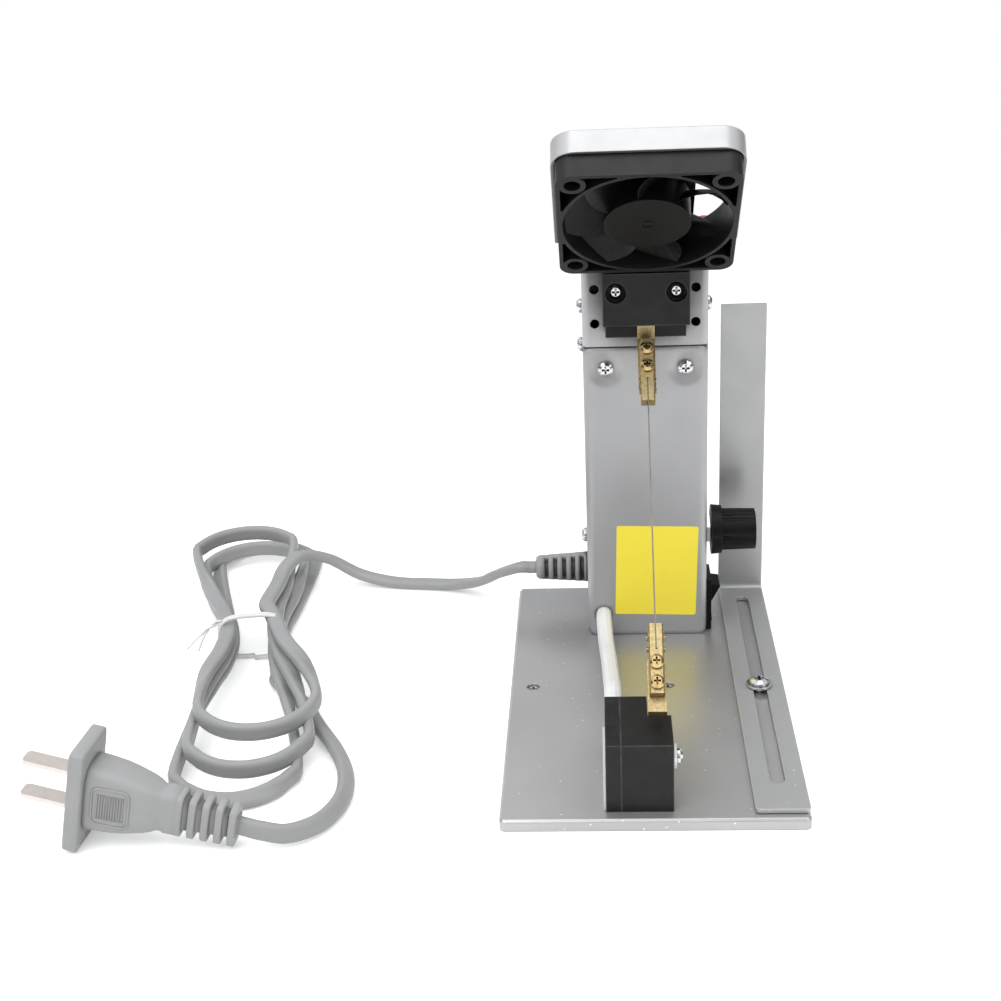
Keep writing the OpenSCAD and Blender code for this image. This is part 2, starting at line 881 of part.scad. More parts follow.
module jaw_screws(start) {
    l = end_w + 1.2;
    for (i = [0, 1])
        translate([-l / 2, start + i * jaw_gap, end_t / 2])
            rotate([0, 90, 0])
                cylinder(d = jaw_d, h = l, $fn = 24);
}

// Places along the blade line
lower_jaw = lower_start + end_l - jaw_in - jaw_gap;
upper_jaw = upper_start + jaw_in;
upper_clamp = upper_start + end_l - clamp_in - clamp_gap;

module lower_blade_end() {
    color(brass_c)
        at_blade()
            translate([0, lower_start, 0])
                brass_end(clamp_in);
}

module upper_blade_end() {
    color(brass_c)
        at_blade()
            translate([0, upper_start + end_l, 0])
                mirror([0, 1, 0])
                    brass_end(clamp_in);
}

module lower_clamp_screws() {
    color(brass_c)
        at_blade()
            clamp_screws(lower_start + clamp_in);
}

module upper_clamp_screws() {
    color(brass_c)
        at_blade()
            clamp_screws(upper_clamp);
}

module lower_jaw_screws() {
    color(brass_c)
        at_blade()
            jaw_screws(lower_jaw);
}

module upper_jaw_screws() {
    color(brass_c)
        at_blade()
            jaw_screws(upper_jaw);
}

module blade() {
    from = lower_start + end_l - slit_l + blade_inset;
    to = upper_start + slit_l - blade_inset;
    hole_d = jaw_d + 0.4;
    color(steel_c)
        at_blade()
            difference() {
                translate([-blade_t / 2, from, (end_t - blade_w) / 2])
                    cube([blade_t, to - from, blade_w]);
                for (start = [lower_jaw, upper_jaw], i = [0, 1])
                    translate([-blade_t, start + i * jaw_gap, end_t / 2])
                        rotate([0, 90, 0])
                            cylinder(d = hole_d, h = 2 * blade_t, $fn = 24);
            }
}

// Where the holder's back faces meet, behind and below the bend's front edge
bend_back = [holder_t, -holder_t * (1 - sin(blade_angle)) / cos(blade_angle)];

module clamp_bores(start) {
    at_blade()
        for (i = [0, 1])
            translate([0, start + i * clamp_gap, -holder_t - cut])
                cylinder(d = clamp_d, h = holder_t + 2 * cut);
}

holder_bottom = base_top + 2.5;
holder_screw_z = [base_top + 8, base_top + 17];

module lower_holder() {
    reach = lower_start + lower_grip;
    color(brass_c)
        difference() {
            translate([axis_x - holder_w / 2, 0, 0])
                along_x(holder_w)
                    polygon([
                        [lower_bend.x, holder_bottom],
                        lower_bend,
                        lower_bend + reach * along,
                        lower_bend + reach * along - holder_t * across,
                        lower_bend + bend_back,
                        [lower_bend.x + holder_t, holder_bottom]
                    ]);
            clamp_bores(lower_start + clamp_in);
            for (z = holder_screw_z)
                translate([axis_x, lower_bend.x - cut, z])
                    rotate([-90, 0, 0])
                        cylinder(d = screw_d, h = holder_t + 2 * cut);
        }
}

module upper_holder() {
    reach = line_l - upper_start - end_l + upper_grip;
    top = top_block_z0 + top_block_h - 1;
    color(brass_c)
        difference() {
            translate([axis_x - holder_w / 2, 0, 0])
                along_x(holder_w)
                    polygon([
                        [upper_bend.x, top],
                        upper_bend,
                        upper_bend - reach * along,
                        upper_bend - reach * along - holder_t * across,
                        upper_bend + bend_back,
                        [upper_bend.x + holder_t, top]
                    ]);
            clamp_bores(upper_clamp);
        }
}

module holder_screws() {
    color(chrome_c)
        for (z = holder_screw_z)
            translate([axis_x, lower_bend.x + holder_t, z])
                rotate([-90, 0, 0])
                    pan_screw(screw_head_d, 2, screw_d, holder_t + 7);
}

// Lower block, with a cheek screwed to its left side and a step cut for the holder
cross_y = block_front + 4.6;
cross_z = base_top + 18;
washer_t = 1;
washer_d = 8;

module lower_block() {
    step_x = axis_x - holder_w / 2 - 0.2;
    color(black_c)
        difference() {
            translate([block_left + cheek_t, block_front, base_top])
                cube([block_w - cheek_t, block_d, block_h]);
            translate([step_x, lower_bend.x, base_top - cut])
                cube([block_w, notch_d + cut, block_h + 2 * cut]);
            for (z = holder_screw_z)
                translate([axis_x, lower_bend.x - 7, z])
                    rotate([-90, 0, 0])
                        cylinder(d = screw_d, h = 7 + cut);
            for (y = block_screw_y)
                translate([block_screw_x, y, base_top - cut])
                    cylinder(d = screw_d, h = 8 + sink_z + cut);
            translate([block_left, cross_y, cross_z])
                rotate([0, 90, 0])
                    cylinder(d = screw_d, h = block_w + cut);
        }
}

module block_cheek() {
    color(black_c)
        difference() {
            translate([block_left, block_front, base_top])
                cube([cheek_t, block_d, block_h]);
            translate([block_left + 1, cross_y, cross_z])
                rotate([0, 90, 0])
                    cylinder(d = screw_d, h = cheek_t);
        }
}

module insulating_strip() {
    strip_t = 0.8;
    color(white_c)
        translate([block_left - strip_t, block_front + 1, base_top])
            cube([strip_t, block_d - 2, block_h * 0.55]);
}

module cross_washer() {
    color(white_c)
        translate([block_right, cross_y, cross_z])
            rotate([0, 90, 0])
                difference() {
                    cylinder(d = washer_d, h = washer_t);
                    translate([0, 0, -cut])
                        cylinder(d = screw_d, h = washer_t + 2 * cut);
                }
}

module cross_screw() {
    color(chrome_c)
        translate([block_right + washer_t, cross_y, cross_z])
            rotate([0, 90, 0])
                pan_screw(screw_head_d, 2, screw_d, washer_t + block_w - 1);
}

// Upper block and the insulator between it and the column
spacer_h = top_block_z0 - upper_bend.y + top_block_h - 1;
counterbore_d = 7.5;
counterbore = 4;

module upper_block() {
    color(black_c)
        difference() {
            translate([axis_x - top_block_w / 2, upper_bend.x + holder_t - top_block_t, top_block_z0])
                cube([top_block_w, top_block_t, top_block_h]);
            translate([axis_x - holder_w / 2 - 0.1, upper_bend.x, top_block_z0 - cut])
                cube([holder_w + 0.2, holder_t + cut, top_block_h]);
            for (sx = [-1, 1])
                translate([axis_x + sx * top_screw_dx / 2, upper_bend.x + holder_t - top_block_t - cut, top_screw_z])
                    rotate([-90, 0, 0]) {
                        cylinder(d = counterbore_d, h = counterbore + cut);
                        cylinder(d = screw_hole_d, h = top_block_t + 2 * cut);
                    }
        }
}

module upper_insulator() {
    color(black_c)
        difference() {
            translate([axis_x - spacer_w / 2, col_front - spacer_t, upper_bend.y])
                cube([spacer_w, spacer_t, spacer_h]);
            for (sx = [-1, 1]) {
                translate([axis_x + sx * top_screw_dx / 2, col_front - spacer_t - cut, top_screw_z])
                    rotate([-90, 0, 0])
                        cylinder(d = screw_hole_d, h = spacer_t + 2 * cut);
            }
        }
}

module upper_block_screws() {
    y = upper_bend.x + holder_t - top_block_t + counterbore;
    color(chrome_c)
        for (sx = [-1, 1])
            translate([axis_x + sx * top_screw_dx / 2, y, top_screw_z]) {
                rotate([90, 0, 0])
                    pan_screw(screw_head_d - 0.4, 2, screw_d, top_block_t - counterbore + spacer_t + sheet_t + 3.4);
                translate([0, top_block_t - counterbore + spacer_t + sheet_t, 0])
                    rotate([-90, 0, 0])
                        difference() {
                            cylinder(d = 6, h = 2.4, $fn = 6);
                            translate([0, 0, -cut])
                                cylinder(d = screw_d, h = 2.4 + 2 * cut);
                        }
            }
}

// Fence: a strip bent up at the back, with a long slot in its foot
foot_front = base_front + 3;
foot_z = base_top + rest_gap;
upright_y = foot_front + foot_l;
foot_top = foot_z + fence_t;
pivot_d = fence_tap_d - 2 * run_gap;
fence_washer_d = 9.3;
fence_washer_t = 0.8;
slot_front = foot_front + 15.5;

// Points on a quarter of a circle, from one angle to another
function arc(c, r, a0, a1, n = 8) =
    [for (i = [0 : n]) let (a = a0 + (a1 - a0) * i / n) c + r * [cos(a), sin(a)]];

module fence() {
    bend = [upright_y - bend_r, foot_top + bend_r];
    color(steel_c)
        difference() {
            translate([fence_x - fence_w / 2, 0, 0])
                along_x(fence_w)
                    polygon(concat(
                        [[foot_front, foot_z]],
                        arc(bend, bend_r + fence_t, 270, 360),
                        [[upright_y + fence_t, base_top + fence_h], [upright_y, base_top + fence_h]],
                        arc(bend, bend_r, 360, 270),
                        [[foot_front, foot_top]]
                    ));
            translate([fence_x - slot_w / 2, slot_front + slot_w / 2, foot_z - cut])
                cube([slot_w, slot_l - slot_w, fence_t + 2 * cut]);
            for (y = [slot_front + slot_w / 2, slot_front + slot_l - slot_w / 2])
                translate([fence_x, y, foot_z - cut])
                    cylinder(d = slot_w, h = fence_t + 2 * cut);
            for (side = [0, 1])
                translate([fence_x + (side - 0.5) * fence_w, foot_front, foot_z - cut])
                    mirror([side, 0, 0])
                        mirror([0, 1, 0])
                            corner_cut(1.5, fence_t + 2 * cut);
        }
}

module fence_washer() {
    color(chrome_c)
        translate([fence_x, fence_screw_y, foot_top + rest_gap])
            difference() {
                cylinder(d = fence_washer_d, h = fence_washer_t);
                translate([0, 0, -cut])
                    cylinder(d = pivot_d, h = fence_washer_t + 2 * cut);
            }
}

module fence_screw() {
    seat = foot_top + rest_gap + fence_washer_t;
    color(chrome_c)
        translate([fence_x, fence_screw_y, seat])
            pan_screw(7, 2, pivot_d, seat - 0.4);
}

// Knob on a shaft through the column's right side
nut_t = 1.7;
knob_x = col_right + nut_t + rest_gap;
regulator_r = 3;
regulator_l = 9;
skirt_l = 4;
knob_bore = 12;

module at_knob(x) {
    translate([x, knob_y, knob_z])
        rotate([0, 90, 0])
            children();
}

module control_knob() {
    flutes = 18;
    flute_r = 1;
    color(black_c)
        at_knob(knob_x)
            difference() {
                union() {
                    cylinder(d1 = skirt_d, d2 = skirt_d - 0.8, h = skirt_l);
                    cylinder(d1 = cap_d, d2 = cap_d - 0.8, h = knob_l);
                }
                translate([0, 0, -cut])
                    cylinder(r = regulator_r, h = knob_bore + cut);
                for (i = [0 : flutes - 1])
                    rotate([0, 0, i * 360 / flutes])
                        translate([cap_d / 2 + 0.4, 0, skirt_l])
                            cylinder(r = flute_r, h = knob_l, $fn = 16);
            }
}

module regulator_shaft() {
    color(steel_c)
        at_knob(col_right - sheet_t - regulator_l + 2)
            cylinder(r = regulator_r, h = knob_x + knob_bore - (col_right - sheet_t - regulator_l + 2));
}

module regulator_body() {
    color(grey_c)
        at_knob(col_right - sheet_t - regulator_l)
            difference() {
                union() {
                    cylinder(d = 16, h = regulator_l);
                    cylinder(d = bush_d, h = regulator_l + sheet_t + nut_t);
                    translate([6, -6, 0])
                        cube([6, 12, 2]);
                }
                translate([0, 0, 2 - rest_gap])
                    cylinder(r = regulator_r + run_gap, h = 2 * regulator_l);
            }
}

module regulator_nut() {
    color(chrome_c)
        at_knob(col_right)
            difference() {
                cylinder(d = 11.5, h = nut_t, $fn = 6);
                translate([0, 0, -cut])
                    cylinder(d = bush_d, h = nut_t + 2 * cut);
            }
}

// Rocker switch in the column's right side
bezel_t = 2;
bezel_wall = 1.6;
rocker_deep = 13;
rocker_wall = 0.9;
paddle_gap = 0.4;
pin_r = 1;
rocker_tilt = 12;
rocker_axis_x = col_right + 0.5;
well_w = rocker_cut_w - 2 * rocker_wall - 0.2;
well_h = rocker_h - 2 * bezel_wall;
paddle_w = well_w - 2 * paddle_gap;

module at_rocker() {
    translate([rocker_axis_x, rocker_y, rocker_z])
        children();
}

module rocker_body() {
    back = -rocker_deep - 0.5;
    color(black_c)
        at_rocker()
            difference() {
                union() {
                    translate([col_right - rocker_axis_x, -rocker_w / 2, -rocker_h / 2])
                        cube([bezel_t, rocker_w, rocker_h]);
                    translate([back, -rocker_cut_w / 2 + 0.1, -rocker_cut_h / 2 + 0.1])
                        cube([rocker_deep + 0.5, rocker_cut_w - 0.2, rocker_cut_h - 0.2]);
                }
                translate([back + 4, -well_w / 2, -well_h / 2])
                    cube([rocker_deep + bezel_t + cut, well_w, well_h]);
                rotate([90, 0, 0])
                    cylinder(r = pin_r + run_gap, h = rocker_cut_w + cut, center = true, $fn = 32);
            }
}

module rocker_paddle() {
    tip = rocker_h / 2 - bezel_wall - 0.9;
    color(black_c)
        at_rocker()
            rotate([0, rocker_tilt, 0]) {
                rotate([90, 0, 0])
                    linear_extrude(paddle_w, center = true)
                        polygon([
                            [-4, -tip + 0.6], [3.2, -tip], [3.6, -tip + 0.5], [1.4, 0],
                            [3.6, tip - 0.5], [3.2, tip], [-4, tip - 0.6]
                        ]);
                rotate([90, 0, 0])
                    cylinder(r = pin_r, h = rocker_cut_w - 0.4, center = true, $fn = 32);
            }
}

// Strain relief in the column's left side
relief_flange_d = 12.3;
relief_end_d = 9.5;

module strain_relief() {
    ribs = 5;
    pitch = (relief_l - 3) / ribs;
    color(black_c)
        translate([col_left, relief_y, relief_z])
            rotate([0, -90, 0]) {
                cylinder(d = relief_flange_d, h = 2);
                cylinder(d1 = relief_end_d, d2 = relief_end_d - 2.4, h = relief_l);
                for (i = [0 : ribs - 1])
                    translate([0, 0, 3 + i * pitch + pitch - 2.1])
                        cylinder(d = relief_flange_d + (relief_end_d - relief_flange_d) * (i + 1) / ribs, h = 2.1);
                translate([0, 0, -sheet_t])
                    cylinder(d = relief_neck_d, h = sheet_t);
                translate([0, 0, -sheet_t - 2])
                    cylinder(d = relief_flange_d, h = 2);
            }
}

// Smooth curve through a list of points, with n steps between each two
function bow(a, b, c, d, t) =
    ((2 * b) + (c - a) * t + (2 * a - 5 * b + 4 * c - d) * t * t + (3 * b - a - 3 * c + d) * t * t * t) / 2;

function smooth(route, n) =
    let (last = len(route) - 1)
    concat([
        for (i = [0 : last - 1], k = [0 : n - 1])
            bow(i == 0 ? 2 * route[0] - route[1] : route[i - 1], route[i], route[i + 1],
                i == last - 1 ? 2 * route[last] - route[last - 1] : route[i + 2], k / n)
    ], [route[last]]);

function unit(v) = v / norm(v);
function ease(t) = let (c = min(1, max(0, t))) c * c * (3 - 2 * c);

// Tube of width w and thickness t along the points, its width square to the up direction,
// turned by roll degrees about its own line by the time it ends
module tube(points, w, t, sides, up = [0, 0, 1], roll = 0) {
    last = len(points) - 1;
    phase = sides % 4 == 0 ? 180 / sides : 0;
    wide = w / 2 / (sides % 4 == 0 ? cos(180 / sides) : 1);
    tall = t / 2 / cos(180 / sides);
    rings = [
        for (i = [0 : last])
            let (ahead = unit(points[min(i + 1, last)] - points[max(i - 1, 0)]),
                 side = unit(cross(ahead, up)),
                 top = cross(side, ahead),
                 turn = roll * ease(i / last),
                 s = cos(turn) * side + sin(turn) * top,
                 u = cos(turn) * top - sin(turn) * side)
            for (k = [0 : sides - 1])
                let (a = 360 * k / sides + phase)
                points[i] + s * wide * cos(a) + u * tall * sin(a)
    ];
    skin = [
        for (i = [0 : last - 1], k = [0 : sides - 1], half = [0, 1])
            let (a = i * sides + k, b = i * sides + (k + 1) % sides)
            half == 0 ? [a, b, a + sides] : [b, b + sides, a + sides]
    ];
    near = [for (k = [1 : sides - 2]) [0, k + 1, k]];
    far = [for (k = [1 : sides - 2]) [last * sides, last * sides + k, last * sides + k + 1]];
    polyhedron(points = rings, faces = concat(skin, near, far));
}

// White sleeve with the heating lead, from the cover to the lower block
sleeve_from = [sleeve_x, col_front, sleeve_z];
sleeve_to = [block_left + sleeve_d / 2, block_back, block_top - sleeve_d / 2 - 0.6];
sleeve_straight = [0, sleeve_d, 0];
sleeve_route = [
    sleeve_from + sleeve_straight,
    sleeve_from,
    sleeve_from - sleeve_straight,
    sleeve_from + 0.24 * (sleeve_to - sleeve_from) + [0, 0, -3.6],
    sleeve_from + 0.45 * (sleeve_to - sleeve_from) + [0.4, 0, -3.2],
    sleeve_from + 0.68 * (sleeve_to - sleeve_from) + [0.3, 0, -1],
    sleeve_to + 2 * sleeve_straight,
    sleeve_to + sleeve_straight,
    sleeve_to
];

module lead_sleeve() {
    color(white_c)
        tube(smooth(sleeve_route, 2), sleeve_d, sleeve_d, 12);
}

// Sheet bracket on the column's left side, with the board and a shelf for the transformer
bracket_x = col_left + sheet_t;
bracket_y = col_front + return_d + seam + 1;
bracket_w = col_d - return_d - seam - sheet_t - 3;
shelf_z = cover_top - 63.5;
shelf_w = 34;
bracket_top = board_screw_z + 6;
bracket_bottom = coil_screw_z - 6;
post_l = 5;
board_t = 1.6;
board_x = bracket_x + sheet_t + post_l;
board_y = bracket_y + bracket_w / 2;
board_h = 30;
board_top_z = bracket_top - 2;

module inner_bracket() {
    color(steel_c)
        difference() {
            union() {
                translate([bracket_x, bracket_y, bracket_bottom])
                    cube([sheet_t, bracket_w, bracket_top - bracket_bottom]);
                translate([bracket_x, bracket_y, shelf_z])
                    cube([shelf_w, bracket_w, sheet_t]);
            }
            for (z = [board_screw_z, coil_screw_z])
                translate([bracket_x - cut, side_screw_y, z])
                    rotate([0, 90, 0])
                        cylinder(d = screw_d, h = sheet_t + 2 * cut);
        }
}

module control_board() {
    color([0.18, 0.36, 0.22]) {
        translate([board_x, bracket_y + 1, board_top_z - board_h])
            cube([board_t, bracket_w - 2, board_h]);
        for (z = [board_top_z - 4, board_top_z - board_h + 4])
            translate([bracket_x + sheet_t, board_y + 4, z])
                rotate([0, 90, 0])
                    cylinder(d = 5, h = post_l, $fn = 24);
    }
}

module board_parts() {
    x = board_x + board_t;
    color(black_c) {
        // Terminal strip under the leads
        translate([board_x + 0.2 + board_t, board_y - 5, board_top_z - 8])
            cube([7, 10, 8]);
        translate([x, board_y + 5, board_top_z - 16])
            rotate([0, 90, 0])
                cylinder(d = 8, h = 12, $fn = 32);
        translate([x, board_y - 9, board_top_z - 26])
            cube([4, 10, 14]);
    }
}

// Lead from the fan's frame into the column's lid
fan_lead_d = 1.8;
lead_hole = [axis_x + col_w / 4, col_front + return_d + 6];
fan_back = [cos(fan_tilt), sin(fan_tilt)];
fan_up = [-sin(fan_tilt), cos(fan_tilt)];
lead_root = [fan_y, fan_z] + fan_t * fan_back - 26 * fan_up;
lead_near = lead_root + 1.5 * fan_back;
lead_out = lead_root + 3 * fan_back;
lead_x = fan_x + 22;
fan_lead_route = [
    [lead_x, lead_root.x, lead_root.y],
    [lead_x, lead_near.x, lead_near.y],
    [lead_x, lead_out.x, lead_out.y],
    [lead_x - 1, col_front + 3, col_top + 14],
    [lead_hole.x + 3, lead_hole.y - 4, col_top + 10],
    [lead_hole.x, lead_hole.y, col_top + 3],
    [lead_hole.x, lead_hole.y, col_top - 3],
    [lead_hole.x - 6, lead_hole.y + 1, col_top - 16],
    [board_x + 4, board_y, board_top_z + 8],
    [board_x + 4, board_y, board_top_z + 4],
    [board_x + 4, board_y, board_top_z]
];

module fan_lead() {
    color([0.8, 0.12, 0.1])
        tube(smooth(fan_lead_route, 2), fan_lead_d, fan_lead_d, 8, up = [1, 0, 0]);
}

// Transformer: a laminated core with a winding round its middle limb
core_w = 30;
core_h = 25;
core_t = 12;
limb_w = 10;
window_w = 5;
window_h = 15;
core_x = bracket_x + shelf_w / 2 + 1;
core_y = bracket_y + bracket_w / 2;
core_z = shelf_z + sheet_t;

module transformer_core() {
    color(grey_c)
        translate([core_x, core_y, core_z + core_h / 2])
            difference() {
                cube([core_w, core_t, core_h], center = true);
                for (sx = [-1, 1])
                    translate([sx * (limb_w + window_w) / 2, 0, 0])
                        cube([window_w, core_t + 2 * cut, window_h], center = true);
            }
}

module transformer_coil() {
    wound = window_w - 0.4;
    color([0.6, 0.28, 0.14])
        translate([core_x, core_y, core_z + (core_h - window_h) / 2])
            linear_extrude(window_h)
                difference() {
                    rounded_2d(limb_w + 2 * wound, core_t + 2 * wound, 3);
                    square([limb_w, core_t], center = true);
                }
}

// Hank: three loops that lie on each other, drawn in at the tie, on a bed that slopes
// down towards the front. Each loop has its own length to the front and to the back.
hank_at = [-153, 35, 0];
hank_along = [-0.155, 0.988, 0];
hank_side = [0.988, 0.155, 0];
hank_front = [0.82, 0.97, 1.08, 1.08];
hank_back = [1, 0.92, 1.04, 1];
hank_turn = [4, 1, -2, -2];
hank_loops = 3;
loop_rings = 24;
lobe_r = 21;
waist = 9;
near_run = 40;
layer = cord_t + 0.9;
tie_t = 0.8;
floor_z = tie_t + 0.1 + cord_t / 2;
bed_slope = layer / 68;

// Place along one run, h from 0 at the tie to 1 at the lobe that ends at reach
function run_along(h, reach) =
    h < 2 / 3 ? 1.5 * near_run * h : near_run + (reach - lobe_r - near_run) * (3 * h - 2);

// A quarter or half of a loop: g from 0 to 1, out along one run and back along the other
function half_loop(g, reach) =
    let (straight = reach - lobe_r,
         h = g < 0.25 ? 4 * g : g > 0.75 ? 4 * (1 - g) : 1,
         a = min(1, max(0, (g - 0.25) * 2)) * 180,
         run = run_along(h, reach),
         half = waist + (lobe_r - waist) * ease(run / straight))
    h < 1 ? [run, (g < 0.5 ? 1 : -1) * half] : [straight + lobe_r * sin(a), lobe_r * cos(a)];

// Middle of the cord after u loops
function hank_point(u) =
    let (k = min(hank_loops, floor(u + 0.0001)),
         f = u - k,
         front = f < 0.4999,
         p = half_loop(front ? 2 * f : 2 * f - 1, hank_a * (front ? hank_front[k] : hank_back[k])),
         l = front ? -p.x : p.x,
         w = front ? p.y : -p.y,
         climb = w > 0 ? (front ? 0 : 1) : min(1, max(0, (l + near_run) / (2 * near_run))),
         turn = hank_turn[k],
         lt = l * cos(turn) + w * sin(turn),
         wt = w * cos(turn) - l * sin(turn),
         z = floor_z + layer * (hank_loops - k - climb) - bed_slope * max(0, -l - near_run))
    hank_at + lt * hank_along + wt * hank_side + [0, 0, max(z, floor_z - layer + tie_t)];

hank_path = [for (i = [0 : hank_loops * loop_rings + 1]) hank_point(i / loop_rings)];
hank_first = hank_path[0];
hank_last = hank_path[len(hank_path) - 1];
hank_out = unit(hank_last - hank_path[len(hank_path) - 2]);

// Least gap of the hank to itself, measured on points four to a ring
fine_path = [
    for (i = [0 : len(hank_path) - 2], k = [0 : 3])
        hank_path[i] + (hank_path[i + 1] - hank_path[i]) * k / 4
];
function flat_norm(v) = norm([v.x, v.y]);
function gap_between(v) = max(abs(v.z) - cord_t, flat_norm(v) - cord_w);
least_gap = min([
    for (i = [0 : len(fine_path) - 1])
        for (j = [i + 48 : 1 : len(fine_path) - 1])
            gap_between(fine_path[i] - fine_path[j])
]);
echo(least_gap_of_the_hank = least_gap);
echo(hank_first = hank_first, hank_last = hank_last);
hank_length = [for (i = [0 : len(hank_path) - 2]) norm(hank_path[i + 1] - hank_path[i])]
    * [for (i = [0 : len(hank_path) - 2]) 1];
echo(hank_length = hank_length);

module cord_hank() {
    color(grey_c)
        tube(hank_path, cord_w, cord_t, 6);
}

// Twist tie round the hank's waist
module hank_tie() {
    inner_w = 2 * waist + cord_w + 4;
    inner_h = hank_loops * layer + cord_t + 0.3;
    tie_w = 4;
    color(white_c)
        translate(hank_at)
            rotate([0, 0, atan2(hank_side.y, hank_side.x)])
                translate([0, tie_w / 2, floor_z - cord_t / 2 - 0.1 + inner_h / 2])
                    rotate([90, 0, 0])
                        linear_extrude(tie_w)
                            difference() {
                                rounded_2d(inner_w + 2 * tie_t, inner_h + 2 * tie_t, 3 + tie_t);
                                rounded_2d(inner_w, inner_h, 3);
                            }
}

// Free cord from the strain relief over the floor into the hank
relief_tip = [col_left - relief_l, relief_y, relief_z];
supply_route = [
    relief_tip,
    relief_tip + [-3, 0, 0],
    relief_tip + [-7, 0, 0],
    [-58, 76, 16],
    [-66, 86, 8],
    [-77, 94, 3],
    [-90, 97, 2],
    [-104, 99, 2],
    [-119, 101, 5],
    [-132, 100, 13],
    [-142, 93, 18],
    [-147, 81, 18],
    [-148, 66, 17],
    hank_first - 14 * unit(hank_path[1] - hank_first) + [0, 0, 0.4],
    hank_first - 7 * unit(hank_path[1] - hank_first),
    hank_first - 3 * unit(hank_path[1] - hank_first),
    hank_first
];

module supply_cord() {
    color(grey_c)
        tube(smooth(supply_route, 2), cord_w, cord_t, 8);
}

// Plug: it stands on its flange and on the last ribs of its strain relief
plug_at = [-133, -94, 7.9];
plug_heading = 174;
plug_pitch = 12.3;
plug_ribs = 5;
rib_pitch = 4.4;
plug_neck_l = 21;
plug_body_l = 28;
flange_t = 5;
flange_h = 37;
flange_d = 21;
pin_gap = 12.7;
pin_l = 18;
plug_dir = [
    cos(plug_heading) * cos(plug_pitch), sin(plug_heading) * cos(plug_pitch), sin(plug_pitch)
];

module at_plug(x) {
    translate(plug_at)
        rotate([0, -plug_pitch, plug_heading])
            translate([x, 0, 0])
                children();
}

// A block across the plug's line, with its middle on the line
module plug_slab(x, l, d, h) {
    translate([x, -d / 2, -h / 2])
        cube([l, d, h]);
}

module plug_body() {
    color(grey_c)
        at_plug(0) {
            for (i = [0 : plug_ribs - 1])
                plug_slab(i * rib_pitch, 2.4, 8 + 0.4 * i, 14 + 0.3 * i);
            hull() {
                plug_slab(0, 0.5, cord_t + 1.6, cord_w + 2.4);
                plug_slab(plug_neck_l, 0.5, 7, 11);
            }
            hull() {
                plug_slab(plug_neck_l - 1, 4, 9.6, 15.4);
                plug_slab(plug_neck_l + 8, 1, 13, 17.5);
            }
            hull() {
                plug_slab(plug_neck_l + 8, 1, 13, 17.5);
                plug_slab(plug_neck_l + 19, 1, 15, 22.5);
                plug_slab(plug_neck_l + plug_body_l, 1, 15.5, 24);
            }
            translate([plug_neck_l + plug_body_l, 0, 0])
                rotate([90, 0, 90])
                    linear_extrude(flange_t)
                        rounded_2d(flange_d, flange_h, 2);
        }
}

module plug_pins() {
    color(chrome_c)
        at_plug(plug_neck_l + plug_body_l + flange_t)
            for (side = [-1, 1])
                translate([0, 0, side * pin_gap / 2 - 0.75])
                    linear_extrude(1.5)
                        polygon(concat(
                            [[0, -3.15], [pin_l - 1.6, -3.15]],
                            arc([pin_l - 1.6, -1.55], 1.6, -90, 0),
                            arc([pin_l - 1.6, 1.55], 1.6, 0, 90),
                            [[0, 3.15]]
                        ));
}

// Free cord from the hank to the plug, which it enters on edge
tail_route = [
    hank_last,
    hank_last + 3 * hank_out,
    hank_last + 7 * hank_out,
    [-127, -6, 2.4],
    [-119, -22, 2.4],
    [-110, -39, 2.6],
    [-104, -56, 3],
    [-103, -72, 3.2],
    [-108, -86, 3.6],
    [-117, -94, 4.6],
    plug_at - 8 * plug_dir,
    plug_at - 3 * plug_dir,
    plug_at
];

module cord_tail() {
    color(grey_c)
        tube(smooth(tail_route, 2), cord_w, cord_t, 8, roll = 90);
}

base_plate();
sunk_screws();
column_screws();
column_shell();
front_cover();
cover_screws();
head_bracket();
side_screws();
fan_frame();
fan_impeller();
fan_shaft();
fan_bearing();
fan_stator();
fan_screws();
fan_lead();
upper_block();
upper_insulator();
upper_block_screws();
upper_holder();
upper_blade_end();
upper_clamp_screws();
upper_jaw_screws();
blade();
lower_blade_end();
lower_clamp_screws();
lower_jaw_screws();
lower_holder();
holder_screws();
lower_block();
block_cheek();
insulating_strip();
cross_screw();
cross_washer();
block_screws();
lead_sleeve();
fence();
fence_screw();
fence_washer();
control_knob();
regulator_shaft();
regulator_body();
regulator_nut();
rocker_body();
rocker_paddle();
strain_relief();
supply_cord();
cord_hank();
hank_tie();
cord_tail();
plug_body();
plug_pins();
transformer_core();
transformer_coil();
inner_bracket();
control_board();
board_parts();
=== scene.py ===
import math

import bpy
from mathutils import Matrix, Vector


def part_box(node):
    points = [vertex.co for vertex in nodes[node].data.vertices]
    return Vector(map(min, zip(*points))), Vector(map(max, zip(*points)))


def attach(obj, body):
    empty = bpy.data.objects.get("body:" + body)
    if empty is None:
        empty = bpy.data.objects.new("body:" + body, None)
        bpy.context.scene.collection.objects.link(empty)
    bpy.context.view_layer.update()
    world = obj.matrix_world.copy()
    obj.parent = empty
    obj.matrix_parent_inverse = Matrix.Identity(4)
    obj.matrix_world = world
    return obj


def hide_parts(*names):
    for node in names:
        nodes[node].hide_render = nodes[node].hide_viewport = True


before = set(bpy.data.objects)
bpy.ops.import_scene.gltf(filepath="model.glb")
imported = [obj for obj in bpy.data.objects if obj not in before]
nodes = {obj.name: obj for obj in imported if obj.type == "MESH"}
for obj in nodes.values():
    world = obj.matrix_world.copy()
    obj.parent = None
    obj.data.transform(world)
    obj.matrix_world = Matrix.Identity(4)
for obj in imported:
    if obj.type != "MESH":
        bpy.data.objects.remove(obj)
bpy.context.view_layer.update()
scene = bpy.context.scene

MM = 0.001
UP = Vector((0, 0, 1))

